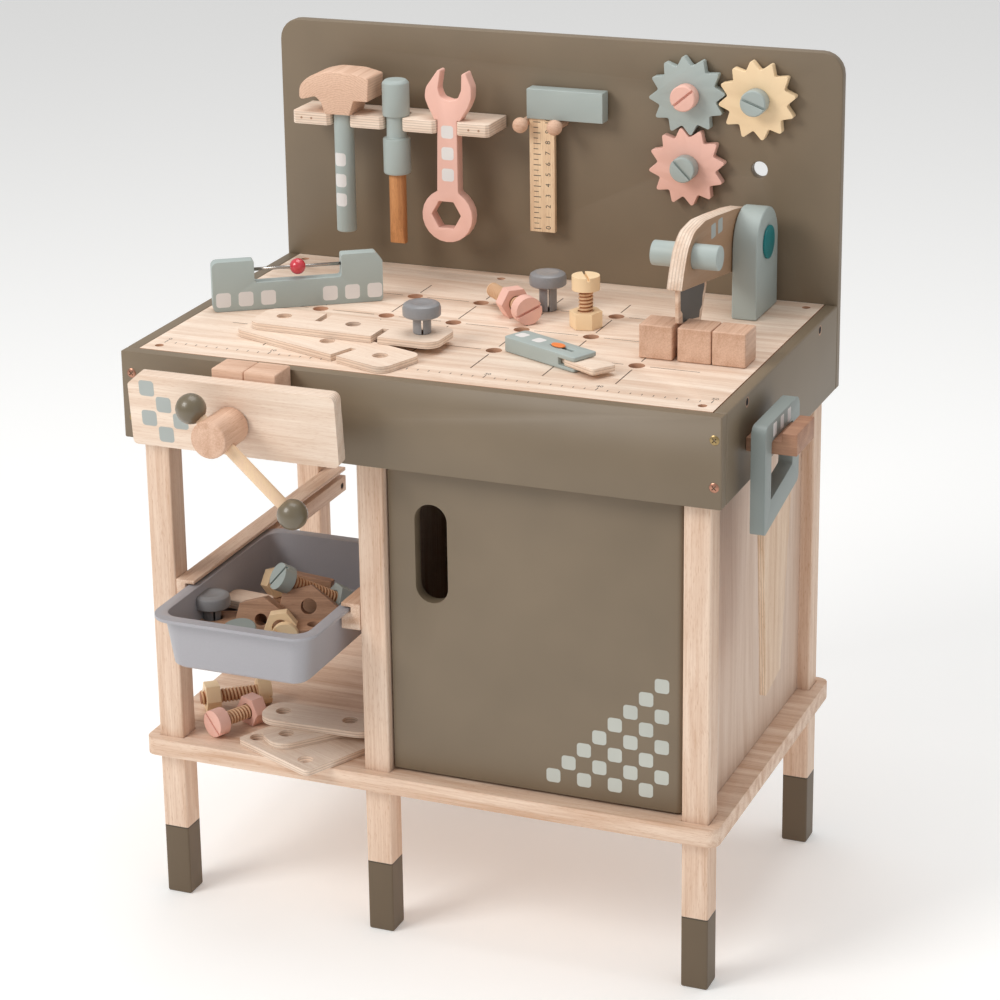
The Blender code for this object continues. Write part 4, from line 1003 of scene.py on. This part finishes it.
def make_light(name, location, target, size, power, colour=(1, 1, 1)):
    light = bpy.data.lights.new(name, "AREA")
    light.shape = "RECTANGLE"
    light.size, light.size_y = size
    light.energy = power
    light.color = colour
    obj = bpy.data.objects.new(name, light)
    obj.location = location
    obj.rotation_euler = (Vector(target) - Vector(location)).to_track_quat("-Z", "Y").to_euler()
    bpy.context.scene.collection.objects.link(obj)


def make_floor():
    """A pale floor that glows a little, so that it stays near white between the lights."""
    floor_mesh = bpy.data.meshes.new("floor")
    shape = bmesh.new()
    bmesh.ops.create_grid(shape, x_segments=1, y_segments=1, size=30)
    shape.to_mesh(floor_mesh)
    shape.free()
    floor = bpy.data.objects.new("floor", floor_mesh)
    floor_mesh.materials.append(LOOKS["floor"])
    glow = LOOKS["floor"].node_tree.nodes["Principled BSDF"]
    glow.inputs["Emission Color"].default_value = (1, 1, 1, 1)
    glow.inputs["Emission Strength"].default_value = 0.18
    bpy.context.scene.collection.objects.link(floor)


def make_studio():
    """An even white surround, a key from the left, a weak fill from the right and a light overhead."""
    world = bpy.data.worlds.new("studio")
    world.use_nodes = True
    background = world.node_tree.nodes["Background"]
    background.inputs["Color"].default_value = (1, 1, 1, 1)
    background.inputs["Strength"].default_value = 0.50
    bpy.context.scene.world = world
    middle = (0, 0, 0.4)
    make_light("key", (-1.6, -2.0, 2.4), middle, (1.3, 1.3), 49, (1.0, 0.985, 0.96))
    make_light("fill", (2.6, -1.6, 1.3), middle, (2.0, 2.0), 3)
    make_light("top", (0, 0.4, 3.0), middle, (1.8, 1.8), 30)
    bpy.context.scene.view_settings.view_transform = "Standard"


def make_camera():
    camera = bpy.data.cameras.new("camera")
    camera.sensor_width = 36
    camera.lens = CAMERA_LENS
    camera.shift_x, camera.shift_y = CAMERA_SHIFT
    obj = bpy.data.objects.new("camera", camera)
    matrix = Matrix((CAMERA_RIGHT, CAMERA_UP, CAMERA_BACK)).transposed().to_4x4()
    matrix.translation = at(*CAMERA_PLACE)
    obj.matrix_world = matrix
    bpy.context.scene.collection.objects.link(obj)
    bpy.context.scene.camera = obj


make_camera()
make_floor()
make_studio()
dress_bench()
dress_tools()
make_screws()
make_sunk_holes()
make_worktop_ruler()
make_worktop_grooves()
make_door_squares()
make_jaw_squares()
make_tool_squares()
make_chop_saw_prints()
make_knife_prints()
make_handle_squares()
make_square_ruler()
make_cream_bolt()
make_worktop_items()
make_shelf_items()
make_tray_items()
make_rear_nuts()


def plain(bounds):
    return [list(corner) for corner in bounds]
